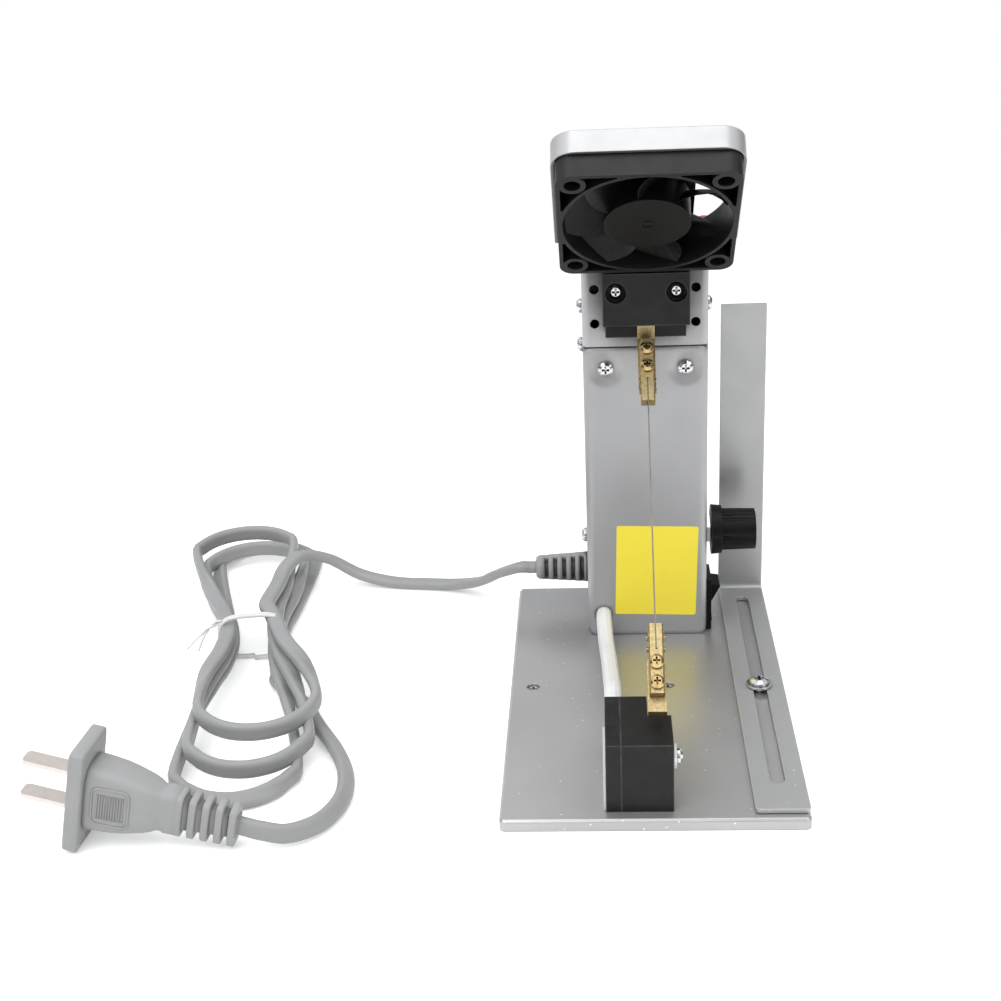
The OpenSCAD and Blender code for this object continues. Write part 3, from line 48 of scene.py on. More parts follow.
# The camera, fitted to the straight edges of the base, the column and the fence
CAMERA_AT = Vector((-14.684, -530.689, 297.752)) * MM
CAMERA_YAW = 0.0677
CAMERA_PITCH = 0.3891
CAMERA_ROLL = -0.045
LENS_MM = 58.535
SENSOR_MM = 36.0
NEAREST = 0.01
FARTHEST = 20


def camera_turn():
    """The camera's turn, from its yaw, its downward pitch and its roll."""
    sy, cy = math.sin(CAMERA_YAW), math.cos(CAMERA_YAW)
    sp, cp = math.sin(CAMERA_PITCH), math.cos(CAMERA_PITCH)
    sr, cr = math.sin(CAMERA_ROLL), math.cos(CAMERA_ROLL)
    ahead = Vector((-sy * cp, cy * cp, -sp))
    level = Vector((cy, sy, 0))
    high = Vector((-sy * sp, cy * sp, cp))
    right = level * cr + high * sr
    up = high * cr - level * sr
    return Matrix((right, up, -ahead)).transposed().to_4x4()


def make_camera():
    data = bpy.data.cameras.new("camera")
    data.sensor_width = SENSOR_MM
    data.lens = LENS_MM
    data.clip_start = NEAREST
    data.clip_end = FARTHEST
    camera = bpy.data.objects.new("camera", data)
    scene.collection.objects.link(camera)
    camera.matrix_world = Matrix.Translation(CAMERA_AT) @ camera_turn()
    scene.camera = camera


make_camera()


# Helpers for curves and meshes
def unit(v):
    return v.normalized()


def clamp(value):
    """The value, kept between 0 and 1."""
    return min(1.0, max(0.0, value))


def ease(t):
    """A soft step from 0 to 1."""
    t = clamp(t)
    return t * t * (3 - 2 * t)


def signed_power(value, power):
    """A power that keeps the value's sign."""
    return math.copysign(abs(value) ** power, value)


def between(a, b, c, d, t):
    """A point from b to c on the smooth curve through a, b, c and d."""
    rise = (c - a) * t
    bend = (2 * a - 5 * b + 4 * c - d) * t * t
    swing = (3 * b - a - 3 * c + d) * t ** 3
    return (2 * b + rise + bend + swing) / 2


def smooth_line(route, steps):
    """A smooth line through the points of a route, with so many steps from each to the next."""
    last = len(route) - 1
    line = []
    for i in range(last):
        before = route[i - 1] if i else 2 * route[0] - route[1]
        after = route[i + 2] if i < last - 1 else 2 * route[last] - route[last - 1]
        line += [between(before, route[i], route[i + 1], after, k / steps) for k in range(steps)]
    return line + [route[last]]


def axes_at(line, i, up):
    """Directions to the side of a line and above it, at one of its points."""
    ahead = unit(line[min(i + 1, len(line) - 1)] - line[max(i - 1, 0)])
    side = unit(ahead.cross(up))
    return side, side.cross(ahead)


def oval(width, height, sides, power=2.5):
    """Points of a rounded section. A higher power makes it squarer."""
    ring = []
    for k in range(sides):
        a = 2 * math.pi * k / sides
        x = width / 2 * signed_power(math.cos(a), 2 / power)
        y = height / 2 * signed_power(math.sin(a), 2 / power)
        ring.append((x, y))
    return ring


# Corners of a rectangle: their sides, and the angle at which the arc of each begins
CORNER_STEP = 15
CORNER_POINTS = 7
CORNERS = ((1, 1, 0), (-1, 1, 90), (-1, -1, 180), (1, -1, 270))


def rounded_box(width, height, radius):
    """Outline of a rectangle with rounded corners."""
    outline = []
    for sx, sy, start in CORNERS:
        for k in range(CORNER_POINTS):
            a = math.radians(start + CORNER_STEP * k)
            x = sx * (width / 2 - radius) + radius * math.cos(a)
            y = sy * (height / 2 - radius) + radius * math.sin(a)
            outline.append((x, y))
    return outline


def mesh_object(name, verts, faces, smooth=True):
    mesh = bpy.data.meshes.new(name)
    mesh.from_pydata([tuple(v) for v in verts], [], faces)
    mesh.validate()
    if smooth:
        mesh.shade_smooth()
    obj = bpy.data.objects.new(name, mesh)
    scene.collection.objects.link(obj)
    return obj


def tube(name, line, section, rolls=None, up=UP):
    """A mesh tube along a line of points, with flat ends."""
    verts, faces = [], []
    last, n = len(line) - 1, len(section)
    for i, p in enumerate(line):
        side, top = axes_at(line, i, up)
        roll = rolls[i] if rolls else 0.0
        across = side * math.cos(roll) + top * math.sin(roll)
        above = top * math.cos(roll) - side * math.sin(roll)
        verts += [p + across * x + above * y for x, y in section]
    for i in range(last):
        for k in range(n):
            a, b = i * n + k, i * n + (k + 1) % n
            faces.append((a, a + n, b + n, b))
    faces.append(tuple(range(n)))
    faces.append(tuple(range(last * n + n - 1, last * n - 1, -1)))
    obj = mesh_object(name, verts, faces)
    for end in obj.data.polygons[-2:]:
        end.use_smooth = False
    return obj


class Solid:
    """Collects the rings and skins of one mesh piece."""

    def __init__(self):
        self.verts = []
        self.faces = []

    def loft(self, rings):
        """Joins rings of equally many points and closes both ends."""
        base, n = len(self.verts), len(rings[0])
        for ring in rings:
            self.verts += ring
        for i in range(len(rings) - 1):
            for k in range(n):
                a, b = base + i * n + k, base + i * n + (k + 1) % n
                self.faces.append((a, b, b + n, a + n))
        self.faces.append(tuple(base + n - 1 - k for k in range(n)))
        top = base + (len(rings) - 1) * n
        self.faces.append(tuple(top + k for k in range(n)))

    def build(self, name, turn=Matrix.Identity(4)):
        """Makes the piece from points in millimetres, placed by a turn in metres."""
        return mesh_object(name, [turn @ (v * MM) for v in self.verts], self.faces)


# The cord, in millimetres: the same route as the CAD, from the strain relief to the plug
CORD_W = 6.0
CORD_T = 3.6
RELIEF_TIP = Vector((-42, 70, 21.4))
SUPPLY_ROUTE = ((-58, 76, 16), (-66, 86, 8), (-77, 94, 3), (-90, 97, 2), (-104, 99, 2), (-119, 101, 5),
                (-132, 100, 13), (-142, 93, 18), (-147, 81, 18), (-148, 66, 17))
TAIL_ROUTE = ((-127, -6, 2.4), (-119, -22, 2.4), (-110, -39, 2.6), (-104, -56, 3), (-103, -72, 3.2),
              (-108, -86, 3.6), (-117, -94, 4.6))
PLUG_AT = Vector((-133, -94, 7.9))
PLUG_HEADING = math.radians(174)
PLUG_PITCH = math.radians(12.3)
PLUG_DIR = Vector((math.cos(PLUG_HEADING) * math.cos(PLUG_PITCH),
                   math.sin(PLUG_HEADING) * math.cos(PLUG_PITCH), math.sin(PLUG_PITCH)))
RELIEF_DIR = Vector((-1, 0, 0))

# Distances of the points that keep the cord straight where it leaves something or enters the plug
LEAD_OUT = (0, 3, 7)
LEAD_IN = (8, 3, 0)
HANK_LEAD = 14
HANK_LIFT = 0.4

# The drawn section is larger, to make up for its rounding and its grooves
SHOWN_W = 6.4
SHOWN_T = 4.0
SECTION_SIDES = 28
SECTION_POWER = 2.7
GROOVE_W = 0.14
GROOVE_DEPTH = 0.1

# The hank: where it lies, the reach of each loop's front and back lobe, and each loop's turn in degrees
HANK_AT = Vector((-153, 35, 0))
HANK_ALONG = Vector((-0.155, 0.988, 0))
HANK_SIDE = Vector((0.988, 0.155, 0))
HANK_REACH = 100.0
HANK_FRONT = (0.82, 0.97, 1.08, 1.08)
HANK_BACK = (1, 0.92, 1.04, 1)
HANK_TURN = (4, 1, -2, -2)
HANK_LOOPS = 3
LOBE_R = 21.0
WAIST = 9.0

# Share of a half loop's points on each run beside the lobe, and of a run's points near the waist
RUN_SHARE = 0.25
NEAR_SHARE = 2 / 3
NEAR_RUN = 40.0

# Height from one loop to the next, room for the tie under the lowest one, and the front lobes' slope
LAYER = CORD_T + 0.9
TIE_T = 0.8
BED_Z = TIE_T + 0.1 + CORD_T / 2
BED_SLOPE = LAYER / 68

# A cord on edge: how far out along the hank it starts to turn, and over what length
ROLL_FROM = 30
ROLL_OVER = 35

# Points to a loop of the hank, and steps from each point of a route to the next
LOOP_RINGS = 24
HANK_STEPS = 4
ROUTE_STEPS = 6
ROUNDING = 0.0001


def twin_section(width, height, sides):
    """A flat twin cord's section: rounded, with a shallow groove along the middle of each side."""
    ring = []
    for x, y in oval(width, height, sides, SECTION_POWER):
        groove = math.exp(-(x / (GROOVE_W * width)) ** 2)
        ring.append((x, y * (1 - GROOVE_DEPTH * groove)))
    return ring


def half_loop(g, reach):
    """Distance along the hank and half width, as g goes from 0 at the waist round the lobe to 1."""
    straight = reach - LOBE_R
    out = min(g, 1 - g) / RUN_SHARE
    if out >= 1:
        a = math.pi * (g - RUN_SHARE) / (1 - 2 * RUN_SHARE)
        return straight + LOBE_R * math.sin(a), LOBE_R * math.cos(a)
    if out < NEAR_SHARE:
        run = NEAR_RUN * out / NEAR_SHARE
    else:
        run = NEAR_RUN + (straight - NEAR_RUN) * (out - NEAR_SHARE) / (1 - NEAR_SHARE)
    half = WAIST + (LOBE_R - WAIST) * ease(run / straight)
    return run, half if g < 0.5 else -half


def hank_point(u):
    """The cord's centre after u loops of the hank. Each loop lies one layer under the one before it."""
    k = min(HANK_LOOPS, math.floor(u + ROUNDING))
    f = u - k
    front = f < 0.5 - ROUNDING
    if front:
        run, half = half_loop(2 * f, HANK_REACH * HANK_FRONT[k])
        along, across = -run, half
    else:
        run, half = half_loop(2 * f - 1, HANK_REACH * HANK_BACK[k])
        along, across = run, -half
    if across > 0:
        sunk = 0 if front else 1
    else:
        sunk = clamp((along + NEAR_RUN) / (2 * NEAR_RUN))
    settled = BED_SLOPE * max(0, -along - NEAR_RUN)
    z = max(BED_Z + LAYER * (HANK_LOOPS - k - sunk) - settled, BED_Z - LAYER + TIE_T)
    turn = math.radians(HANK_TURN[k])
    turned_along = along * math.cos(turn) + across * math.sin(turn)
    turned_across = across * math.cos(turn) - along * math.sin(turn)
    return HANK_AT + turned_along * HANK_ALONG + turned_across * HANK_SIDE + z * UP


def lobe_roll(p):
    """A flat cord turns on edge where it bends round a lobe, as far as the floor leaves it room."""
    out = abs((p - HANK_AT).dot(HANK_ALONG))
    room = (p.z - SHOWN_T / 2) / (SHOWN_W / 2 - SHOWN_T / 2)
    return ease((out - ROLL_FROM) / ROLL_OVER) * math.asin(clamp(room))


def supply_line(hank):
    """From the strain relief, straight out, down and along the floor, and up to the hank."""
    first = hank[0]
    onward = unit(hank[1] - first)
    route = [RELIEF_TIP + out * RELIEF_DIR for out in LEAD_OUT]
    route += [Vector(p) for p in SUPPLY_ROUTE]
    route.append(first - HANK_LEAD * onward + HANK_LIFT * UP)
    route += [first - out * onward for out in reversed(LEAD_OUT)]
    return smooth_line(route, ROUTE_STEPS)


def tail_line(hank):
    """From the hank along the floor to the plug, and straight into it."""
    last = hank[-1]
    onward = unit(last - hank[-2])
    route = [last + out * onward for out in LEAD_OUT]
    route += [Vector(p) for p in TAIL_ROUTE]
    route += [PLUG_AT - out * PLUG_DIR for out in LEAD_IN]
    return smooth_line(route, ROUTE_STEPS)


def make_cord():
    loops = [hank_point(i / LOOP_RINGS) for i in range(HANK_LOOPS * LOOP_RINGS + 2)]
    supply = supply_line(loops)[:-1]
    hank = smooth_line(loops, HANK_STEPS)[:-1]
    tail = tail_line(loops)
    rolls = [0.0] * len(supply)
    rolls += [lobe_roll(p) for p in hank]
    rolls += [math.pi / 2 * ease(i / (len(tail) - 1)) for i in range(len(tail))]
    line = [p * MM for p in supply + hank + tail]
    cord = tube("flat_cord", line, twin_section(SHOWN_W * MM, SHOWN_T * MM, SECTION_SIDES), rolls)
    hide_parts("supply_cord", "cord_hank", "cord_tail")
    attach(cord, "base")
    length = sum((b - a).length for a, b in zip(line, line[1:]))
    return cord, line, length


cord, cord_line, cord_length = make_cord()


# A twist tie wound twice round the waist of the hank, with its two ends twisted together
TIE_W = 1.4
WIRE = 0.9
TIE_SIDES = 8
TIE_TURNS = 2
TIE_RINGS = 44
TIE_SHIFT = 3.2
TIE_POWER = 0.62
TIE_HALF_W = WAIST + CORD_W / 2 + 0.9
TIE_LOW = 0.75
TIE_HIGH = BED_Z + HANK_LOOPS * LAYER + CORD_T / 2 + 0.8

# Its ends start just inside the band, run left, forward and down, twist at first and then part
END_W = 1.1
END_RINGS = 24
END_INSET = 1
END_UNDER = 1.5
END_LEFT = 11
END_FORWARD = 7
END_DOWN = 8
END_TWISTS = 1.6
END_TWISTED = 0.6
END_APART = 0.55
END_SPREAD = 4


def tie_band():
    """The turns round the hank, a little further along it with each."""
    middle = (TIE_LOW + TIE_HIGH) / 2
    half_h = (TIE_HIGH - TIE_LOW) / 2
    line = []
    for i in range(TIE_TURNS * TIE_RINGS + 1):
        a = 2 * math.pi * i / TIE_RINGS - math.pi / 2
        across = TIE_HALF_W * signed_power(math.cos(a), TIE_POWER)
        along = -TIE_SHIFT / 2 + TIE_SHIFT * i / (TIE_TURNS * TIE_RINGS)
        z = middle + half_h * signed_power(math.sin(a), TIE_POWER)
        line.append((HANK_AT + HANK_SIDE * across + HANK_ALONG * along + UP * z) * MM)
    return tube("tie_band", line, oval(TIE_W * MM, WIRE * MM, TIE_SIDES), up=HANK_ALONG)


def tie_end(index):
    """One end of the wire: an easy twist with the other end, and then away from it."""
    start = HANK_AT - HANK_SIDE * (TIE_HALF_W - END_INSET) + UP * (TIE_HIGH - END_UNDER)
    line = []
    for i in range(END_RINGS + 1):
        t = i / END_RINGS
        a = 2 * math.pi * END_TWISTS * min(t, END_TWISTED) + math.pi * index
        apart = END_APART + END_SPREAD * max(0, t - END_TWISTED)
        middle = start - HANK_SIDE * (END_LEFT * t) - HANK_ALONG * (END_FORWARD * t) - UP * (END_DOWN * t * t)
        line.append((middle + HANK_SIDE * (apart * math.cos(a)) + UP * (apart * math.sin(a))) * MM)
    return tube("tie_end_%d" % index, line, oval(END_W * MM, WIRE * MM, TIE_SIDES))


def make_tie():
    band = tie_band()
    pieces = [band, tie_end(0), tie_end(1)]
    for piece in pieces:
        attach(piece, "base")
    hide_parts("hank_tie")
    return pieces


tie = make_tie()


# The plug, in millimetres along its own axis: ribs, a swelling body and a flange
PLUG_TURN = (Matrix.Translation(PLUG_AT * MM) @ Matrix.Rotation(PLUG_HEADING, 4, "Z")
             @ Matrix.Rotation(-PLUG_PITCH, 4, "Y"))
PLUG_SIDES = 40
RIBS = 5
RIB_PITCH = 4.4
RIB_T = 2.4
RIB_EDGE = 0.45
RIB_POWER = 5
RIB_HALF_D = 4
RIB_HALF_H = 7
RIB_GROWS_D = 0.2
RIB_GROWS_H = 0.15
NECK_L = 21
BODY_L = 28
FLANGE_T = 5
FLANGE_D = 21
FLANGE_H = 37
FLANGE_EDGE = 0.7
FLANGE_POWER = 16

# Body stations: distance along the plug, half depth, half height
PLUG_BODY = ((-0.4, 2.6, 4.2), (8, 3.0, 4.8), (18.4, 3.6, 5.6), (18.9, 4.3, 7.0),
             (19.6, 4.8, 7.7), (23.4, 4.9, 7.8), (24.2, 4.7, 7.4), (25.6, 4.7, 7.5),
             (27.2, 5.6, 8.2), (29.4, 6.5, 8.8), (31.5, 6.8, 9.4), (35.5, 7.1, 10.6),
             (39.5, 7.5, 11.3), (44.5, 7.7, 11.8), (49.2, 7.75, 12.0), (52, 7.75, 12.0))
BODY_POWER = 4.5

# The thumb panel on each broad side: a thin raised frame round a row of upright ridges
PANEL_X = 40.2
PANEL_W = 12.0
PANEL_H = 13.5
PANEL_R = 2.2
PANEL_BEAD = 0.42
PANEL_BEAD_SIDES = 8
RIDGES = 11
RIDGE_ROW = PANEL_W - 3.6
RIDGE_HEIGHTS = (-4.6, -3, 0, 3, 4.6)
RIDGE_BEAD = 0.26
RIDGE_BEAD_SIDES = 6


def block_ring(x, half_d, half_h, power):
    return [Vector((x, y, z)) for y, z in oval(2 * half_d, 2 * half_h, PLUG_SIDES, power)]


def soft_slab(solid, x, thick, half_d, half_h, edge, power):
    """A slab across the plug with rounded rims."""
    near = 0.3 * edge
    rim = ((0, edge), (near, near), (edge, 0), (thick - edge, 0), (thick - near, near), (thick, edge))
    solid.loft([block_ring(x + along, half_d - inset, half_h - inset, power) for along, inset in rim])


def body_size(x):
    """Half depth and half height of the plug's body at a distance along it."""
    for (x0, d0, h0), (x1, d1, h1) in zip(PLUG_BODY, PLUG_BODY[1:]):
        if x <= x1:
            t = (x - x0) / (x1 - x0)
            return d0 + (d1 - d0) * t, h0 + (h1 - h0) * t
    return PLUG_BODY[-1][1:]


def on_body(x, z, side):
    """Point on the plug body's broad side."""
    half_d, half_h = body_size(x)
    return Vector((x, side * half_d * (1 - abs(z / half_h) ** BODY_POWER) ** (1 / BODY_POWER), z))


def bead(solid, path, radius, sides):
    """A thin round bead along a path of points, flush with its ends."""
    rings = []
    for i, p in enumerate(path):
        side, top = axes_at(path, i, Vector((0, 1, 0)))
        angles = [2 * math.pi * k / sides for k in range(sides)]
        rings.append([p + radius * (side * math.cos(a) + top * math.sin(a)) for a in angles])
    solid.loft(rings)


def thumb_panel(solid, side):
    """The frame and ridges on one broad side."""
    outline = rounded_box(PANEL_W, PANEL_H, PANEL_R)
    closed = outline + outline[:1]
    bead(solid, [on_body(PANEL_X + x, z, side) for x, z in closed], PANEL_BEAD, PANEL_BEAD_SIDES)
    for i in range(RIDGES):
        x = PANEL_X + (i / (RIDGES - 1) - 0.5) * RIDGE_ROW
        bead(solid, [on_body(x, z, side) for z in RIDGE_HEIGHTS], RIDGE_BEAD, RIDGE_BEAD_SIDES)


def make_plug():
    solid = Solid()
    solid.loft([block_ring(x, half_d, half_h, BODY_POWER) for x, half_d, half_h in PLUG_BODY])
    for i in range(RIBS):
        half_d = RIB_HALF_D + RIB_GROWS_D * i
        half_h = RIB_HALF_H + RIB_GROWS_H * i
        soft_slab(solid, i * RIB_PITCH, RIB_T, half_d, half_h, RIB_EDGE, RIB_POWER)
    soft_slab(solid, NECK_L + BODY_L, FLANGE_T, FLANGE_D / 2, FLANGE_H / 2, FLANGE_EDGE, FLANGE_POWER)
    for side in (1, -1):
        thumb_panel(solid, side)
    plug = solid.build("plug_moulding", PLUG_TURN)
    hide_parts("plug_body")
    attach(plug, "base")
    return plug


plug = make_plug()


# The strain relief: a tapered sleeve with slots down both sides and a web left along top and bottom
RELIEF_BASE_X = -21.0
RELIEF_L = RELIEF_BASE_X - RELIEF_TIP.x
RELIEF_BIG_R = 6.15
RELIEF_SMALL_R = 4.75
RELIEF_SIDES = 72
TIP_ROUNDING = 1.2
TIP_SHRINKS = 0.7
TIP_RINGS = (TIP_ROUNDING, 0.6, 0.2, 0)
SLOTS = 5
SLOT_PITCH = 3.6
SLOT_W = 1.6
SLOT_DEPTH = 2.3
SLOT_EDGE = 0.06
FIRST_SLOT = 1.6
WEB_HALF = math.radians(17)
WEB_EDGE = 0.06


def relief_radius(along, angle):
    """Radius of the sleeve at a distance from the housing and an angle round it from its front."""
    outer = RELIEF_BIG_R + (RELIEF_SMALL_R - RELIEF_BIG_R) * along / RELIEF_L
    outer -= TIP_SHRINKS * ease((along - RELIEF_L + TIP_ROUNDING) / TIP_ROUNDING)
    web = ease((abs(math.sin(angle)) - math.cos(WEB_HALF) + WEB_EDGE) / WEB_EDGE)
    step = (along - FIRST_SLOT) % SLOT_PITCH
    in_slot = FIRST_SLOT < along < FIRST_SLOT + SLOTS * SLOT_PITCH and step < SLOT_W
    return outer - (SLOT_DEPTH * (1 - web) if in_slot else 0.0)


def relief_stations():
    """Distances from the housing at which the sleeve gets a ring: its ends and both edges of each slot."""
    stations = [0.0]
    for i in range(SLOTS):
        start = FIRST_SLOT + i * SLOT_PITCH
        end = start + SLOT_W
        stations += [start - SLOT_EDGE, start + SLOT_EDGE, end - SLOT_EDGE, end + SLOT_EDGE]
    return stations + [RELIEF_L - back for back in TIP_RINGS]


def relief_ring(along):
    ring = []
    for k in range(RELIEF_SIDES):
        a = 2 * math.pi * k / RELIEF_SIDES
        r = relief_radius(along, a)
        y = RELIEF_TIP.y - r * math.cos(a)
        z = RELIEF_TIP.z + r * math.sin(a)
        ring.append(Vector((RELIEF_BASE_X - along, y, z)))
    return ring


def make_relief():
    solid = Solid()
    solid.loft([relief_ring(along) for along in relief_stations()])
    relief = solid.build("relief_moulding")
    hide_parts("strain_relief")
    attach(relief, "base")
    return relief


relief = make_relief()


# Noise scales are cells to a metre, and widths, depths and radii are in metres
# Lighter patches along sharp edges stand for real wear and for painted edge highlights
WEAR_AND_HIGHLIGHT_WIDTH = 0.0007
WEAR_AND_HIGHLIGHT_SCALE = 110.0
DUST_SCALE = 300.0
DUST_TINT = (0.85, 0.84, 0.82)
GRAIN_SHARE = 0.35
GRAIN_DARKER = 1.6
COAT_ROUGHNESS = 0.12
SHADER_SAMPLES = 6


class Graph:
    """Builds the nodes of a material or a world."""

    def __init__(self, owner, output):
        owner.use_nodes = True
        self.tree = owner.node_tree
        self.tree.nodes.clear()
        self.out = self.add(output)
        self.coords = self.add("ShaderNodeTexCoord")

    def add(self, kind, **settings):
        node = self.tree.nodes.new(kind)
        for key, value in settings.items():
            setattr(node, key, value)
        return node

    def link(self, a, b):
        self.tree.links.new(a, b)

    def compute(self, operation, a, b):
        node = self.add("ShaderNodeMath", operation=operation)
        self.link(a, node.inputs[0])
        self.link(b, node.inputs[1])
        return node.outputs[0]

    def spread(self, value, low, high, start=0.3, end=0.7, curve="LINEAR"):
        """Runs from low to high while the value goes from start to end."""
        node = self.add("ShaderNodeMapRange", interpolation_type=curve)
        self.link(value, node.inputs["Value"])
        node.inputs["From Min"].default_value = start
        node.inputs["From Max"].default_value = end
        node.inputs["To Min"].default_value = low
        node.inputs["To Max"].default_value = high
        return node.outputs["Result"]

    def light(self, kind, tint, strength):
        """An emission or background shader."""
        node = self.add(kind)
        node.inputs["Color"].default_value = (*tint, 1.0)
        node.inputs["Strength"].default_value = strength
        return node

    def mix_shader(self, factor, a, b):
        node = self.add("ShaderNodeMixShader")
        self.link(factor, node.inputs[0])
        self.link(a, node.inputs[1])
        self.link(b, node.inputs[2])
        return node.outputs[0]


class Finish(Graph):
    """Builds one material round a Principled shader."""

    def __init__(self, name):
        self.mat = bpy.data.materials.new(name)
        super().__init__(self.mat, "ShaderNodeOutputMaterial")
        self.shader = self.add("ShaderNodeBsdfPrincipled")
        self.link(self.shader.outputs["BSDF"], self.out.inputs["Surface"])

    def mapped(self, scale=(1, 1, 1)):
        node = self.add("ShaderNodeMapping")
        node.inputs["Scale"].default_value = scale
        self.link(self.coords.outputs["Object"], node.inputs["Vector"])
        return node.outputs["Vector"]

    def noise(self, vector, scale, detail=3.0, rough=0.55):
        node = self.add("ShaderNodeTexNoise")
        node.inputs["Scale"].default_value = scale
        node.inputs["Detail"].default_value = detail
        node.inputs["Roughness"].default_value = rough
        self.link(vector, node.inputs["Vector"])
        return node.outputs["Fac"]

    def blend(self, factor, a, b):
        """Mixes two colours, each a tint or another node's output."""
        node = self.add("ShaderNodeMix", data_type="RGBA")
        self.link(factor, node.inputs["Factor"])
        for socket, value in ((node.inputs[6], a), (node.inputs[7], b)):
            if isinstance(value, tuple):
                socket.default_value = (*value, 1.0)
            else:
                self.link(value, socket)
        return node.outputs[2]

    def rounded(self, radius):
        """Normals rounded at the edges."""
        bevel = self.add("ShaderNodeBevel", samples=SHADER_SAMPLES)
        bevel.inputs["Radius"].default_value = radius
        return bevel.outputs["Normal"]

    def wear_and_highlight_mask(self, vector, amount):
        """Patches along sharp edges, where rounded and flat normals part: real wear and painted edge
        highlights.
        """
        geometry = self.add("ShaderNodeNewGeometry")
        dot = self.add("ShaderNodeVectorMath", operation="DOT_PRODUCT")
        self.link(self.rounded(WEAR_AND_HIGHLIGHT_WIDTH), dot.inputs[0])
        self.link(geometry.outputs["Normal"], dot.inputs[1])
        edge = self.spread(dot.outputs["Value"], 1.0, 0.0, 0.86, 0.99)
        broken = self.spread(self.noise(vector, WEAR_AND_HIGHLIGHT_SCALE, 2.0), 0.3 * amount, amount, 0.35, 0.65)
        return self.compute("MULTIPLY", edge, broken)

    def dust_mask(self, vector, amount):
        """Sparse round flecks: the core of some cells of a cell pattern."""
        cells = self.add("ShaderNodeTexVoronoi")
        cells.inputs["Scale"].default_value = DUST_SCALE
        self.link(vector, cells.inputs["Vector"])
        core = self.spread(cells.outputs["Distance"], 1.0, 0.0, 0.08, 0.12)
        chosen = self.spread(cells.outputs["Color"], 0.0, amount, 0.55, 0.6)
        return self.compute("MULTIPLY", core, chosen)

    def painted_shade_mask(self, reach):
        """Where painted shade goes: white in slots, sockets and corners, and black in the open."""
        shade = self.add("ShaderNodeAmbientOcclusion", samples=SHADER_SAMPLES)
        shade.inputs["Distance"].default_value = reach
        return self.spread(shade.outputs["AO"], 1.0, 0.0, 0.35, 0.9)

    def relief(self, height, strength, distance, bevel):
        """Bumps from a height, over edges that are rounded by the bevel, if any."""
        bump = self.add("ShaderNodeBump")
        bump.inputs["Strength"].default_value = strength
        bump.inputs["Distance"].default_value = distance
        self.link(height, bump.inputs["Height"])
        if bevel:
            self.link(self.rounded(bevel), bump.inputs["Normal"])
        self.link(bump.outputs["Normal"], self.shader.inputs["Normal"])

    def set(self, **values):
        for key, value in values.items():
            self.shader.inputs[key.replace("_", " ")].default_value = value


def scaled(tint, k):
    """The tint made lighter or darker, at most white."""
    return tuple(min(1.0, c * k) for c in tint)


def surface(name, tint, rough, metallic=0.0, *, patch, grain, bump, vary, rough_vary=0.07, depth=0.00008,
            bevel=0.0003, stretch=(1, 1, 1), specular=0.5, coat=0.0, wear_and_highlight=0.0, wear_and_highlight_tint=None,
            painted_shade=None, reach=0.0015, dust=0.0):
    """A finish whose colour drifts in patches, with a fine grain and, where asked, wear with painted edge
    highlights, painted shade in recesses, and dust.
    """
    g = Finish(name)
    plain = g.mapped()
    fine = g.noise(g.mapped(stretch), grain, 2.0, 0.6)
    drift = g.spread(g.noise(plain, patch, 4.0), 0.0, 1.0)
    specks = g.spread(fine, 0.0, GRAIN_SHARE, 0.35, 0.75)
    colour = g.blend(drift, scaled(tint, 1 - vary), scaled(tint, 1 + vary))
    colour = g.blend(specks, colour, scaled(tint, 1 - GRAIN_DARKER * vary))
    # Lighter sharp edges: real wear, and painted edge highlights
    if wear_and_highlight:
        colour = g.blend(g.wear_and_highlight_mask(plain, wear_and_highlight), colour, wear_and_highlight_tint)
    if dust:
        colour = g.blend(g.dust_mask(plain, dust), colour, DUST_TINT)
    # Painted shade: the colour darkens towards the given tint in slots, sockets and corners
    if painted_shade:
        colour = g.blend(g.painted_shade_mask(reach), colour, painted_shade)
    g.link(colour, g.shader.inputs["Base Color"])
    gloss = g.spread(g.noise(plain, patch * 3, 5.0), rough - rough_vary, rough + rough_vary)
    g.link(gloss, g.shader.inputs["Roughness"])
    g.set(Metallic=metallic, Specular_IOR_Level=specular, Coat_Weight=coat, Coat_Roughness=COAT_ROUGHNESS)
    g.relief(fine, bump, depth, bevel)
    return g.mat


# Painted sheet and brass share these
SHEET = dict(metallic=0.5, grain=2600, bump=0.12, depth=0.00005)
BRASS = dict(metallic=1.0, rough_vary=0.04, bevel=0.0002)

# Painted shade darkens this paint in corners and creases
paint = surface("silver_paint", (0.41, 0.41, 0.415), 0.36, **SHEET, vary=0.035, patch=18, bevel=0.0005,
                wear_and_highlight=0.4, wear_and_highlight_tint=(0.7, 0.7, 0.71), painted_shade=(0.16, 0.16, 0.165), reach=0.003)
fence_paint = surface("fence_paint", (0.44, 0.44, 0.44), 0.36, **SHEET, vary=0.04, patch=22, bevel=0.0005,
                      wear_and_highlight=0.6, wear_and_highlight_tint=(0.72, 0.72, 0.72), dust=0.8)
# The column's paint made lighter, a painted highlight for the hood's upturned top, and darkened as painted
# shadow where the fan hangs over the head
hood_paint_lit_and_shaded = surface("hood_paint_lit_and_shaded", (0.5, 0.5, 0.505), 0.35, **SHEET, rough_vary=0.05, vary=0.06, patch=110,
                     bevel=0.0005, wear_and_highlight=0.4, wear_and_highlight_tint=(0.75, 0.75, 0.76), painted_shade=(0.035, 0.035, 0.036),
                     reach=0.035)
cover_paint = surface("cover_paint", (0.405, 0.405, 0.41), 0.36, **SHEET, vary=0.035, patch=18, bevel=0.0028)
base_paint = surface("base_paint", (0.46, 0.455, 0.455), 0.33, 0.65, rough_vary=0.04, vary=0.08, patch=14,
                     grain=1700, bump=0.08, depth=0.00004, bevel=0.0006, wear_and_highlight=0.3, wear_and_highlight_tint=(0.7, 0.7, 0.7),
                     dust=0.8)
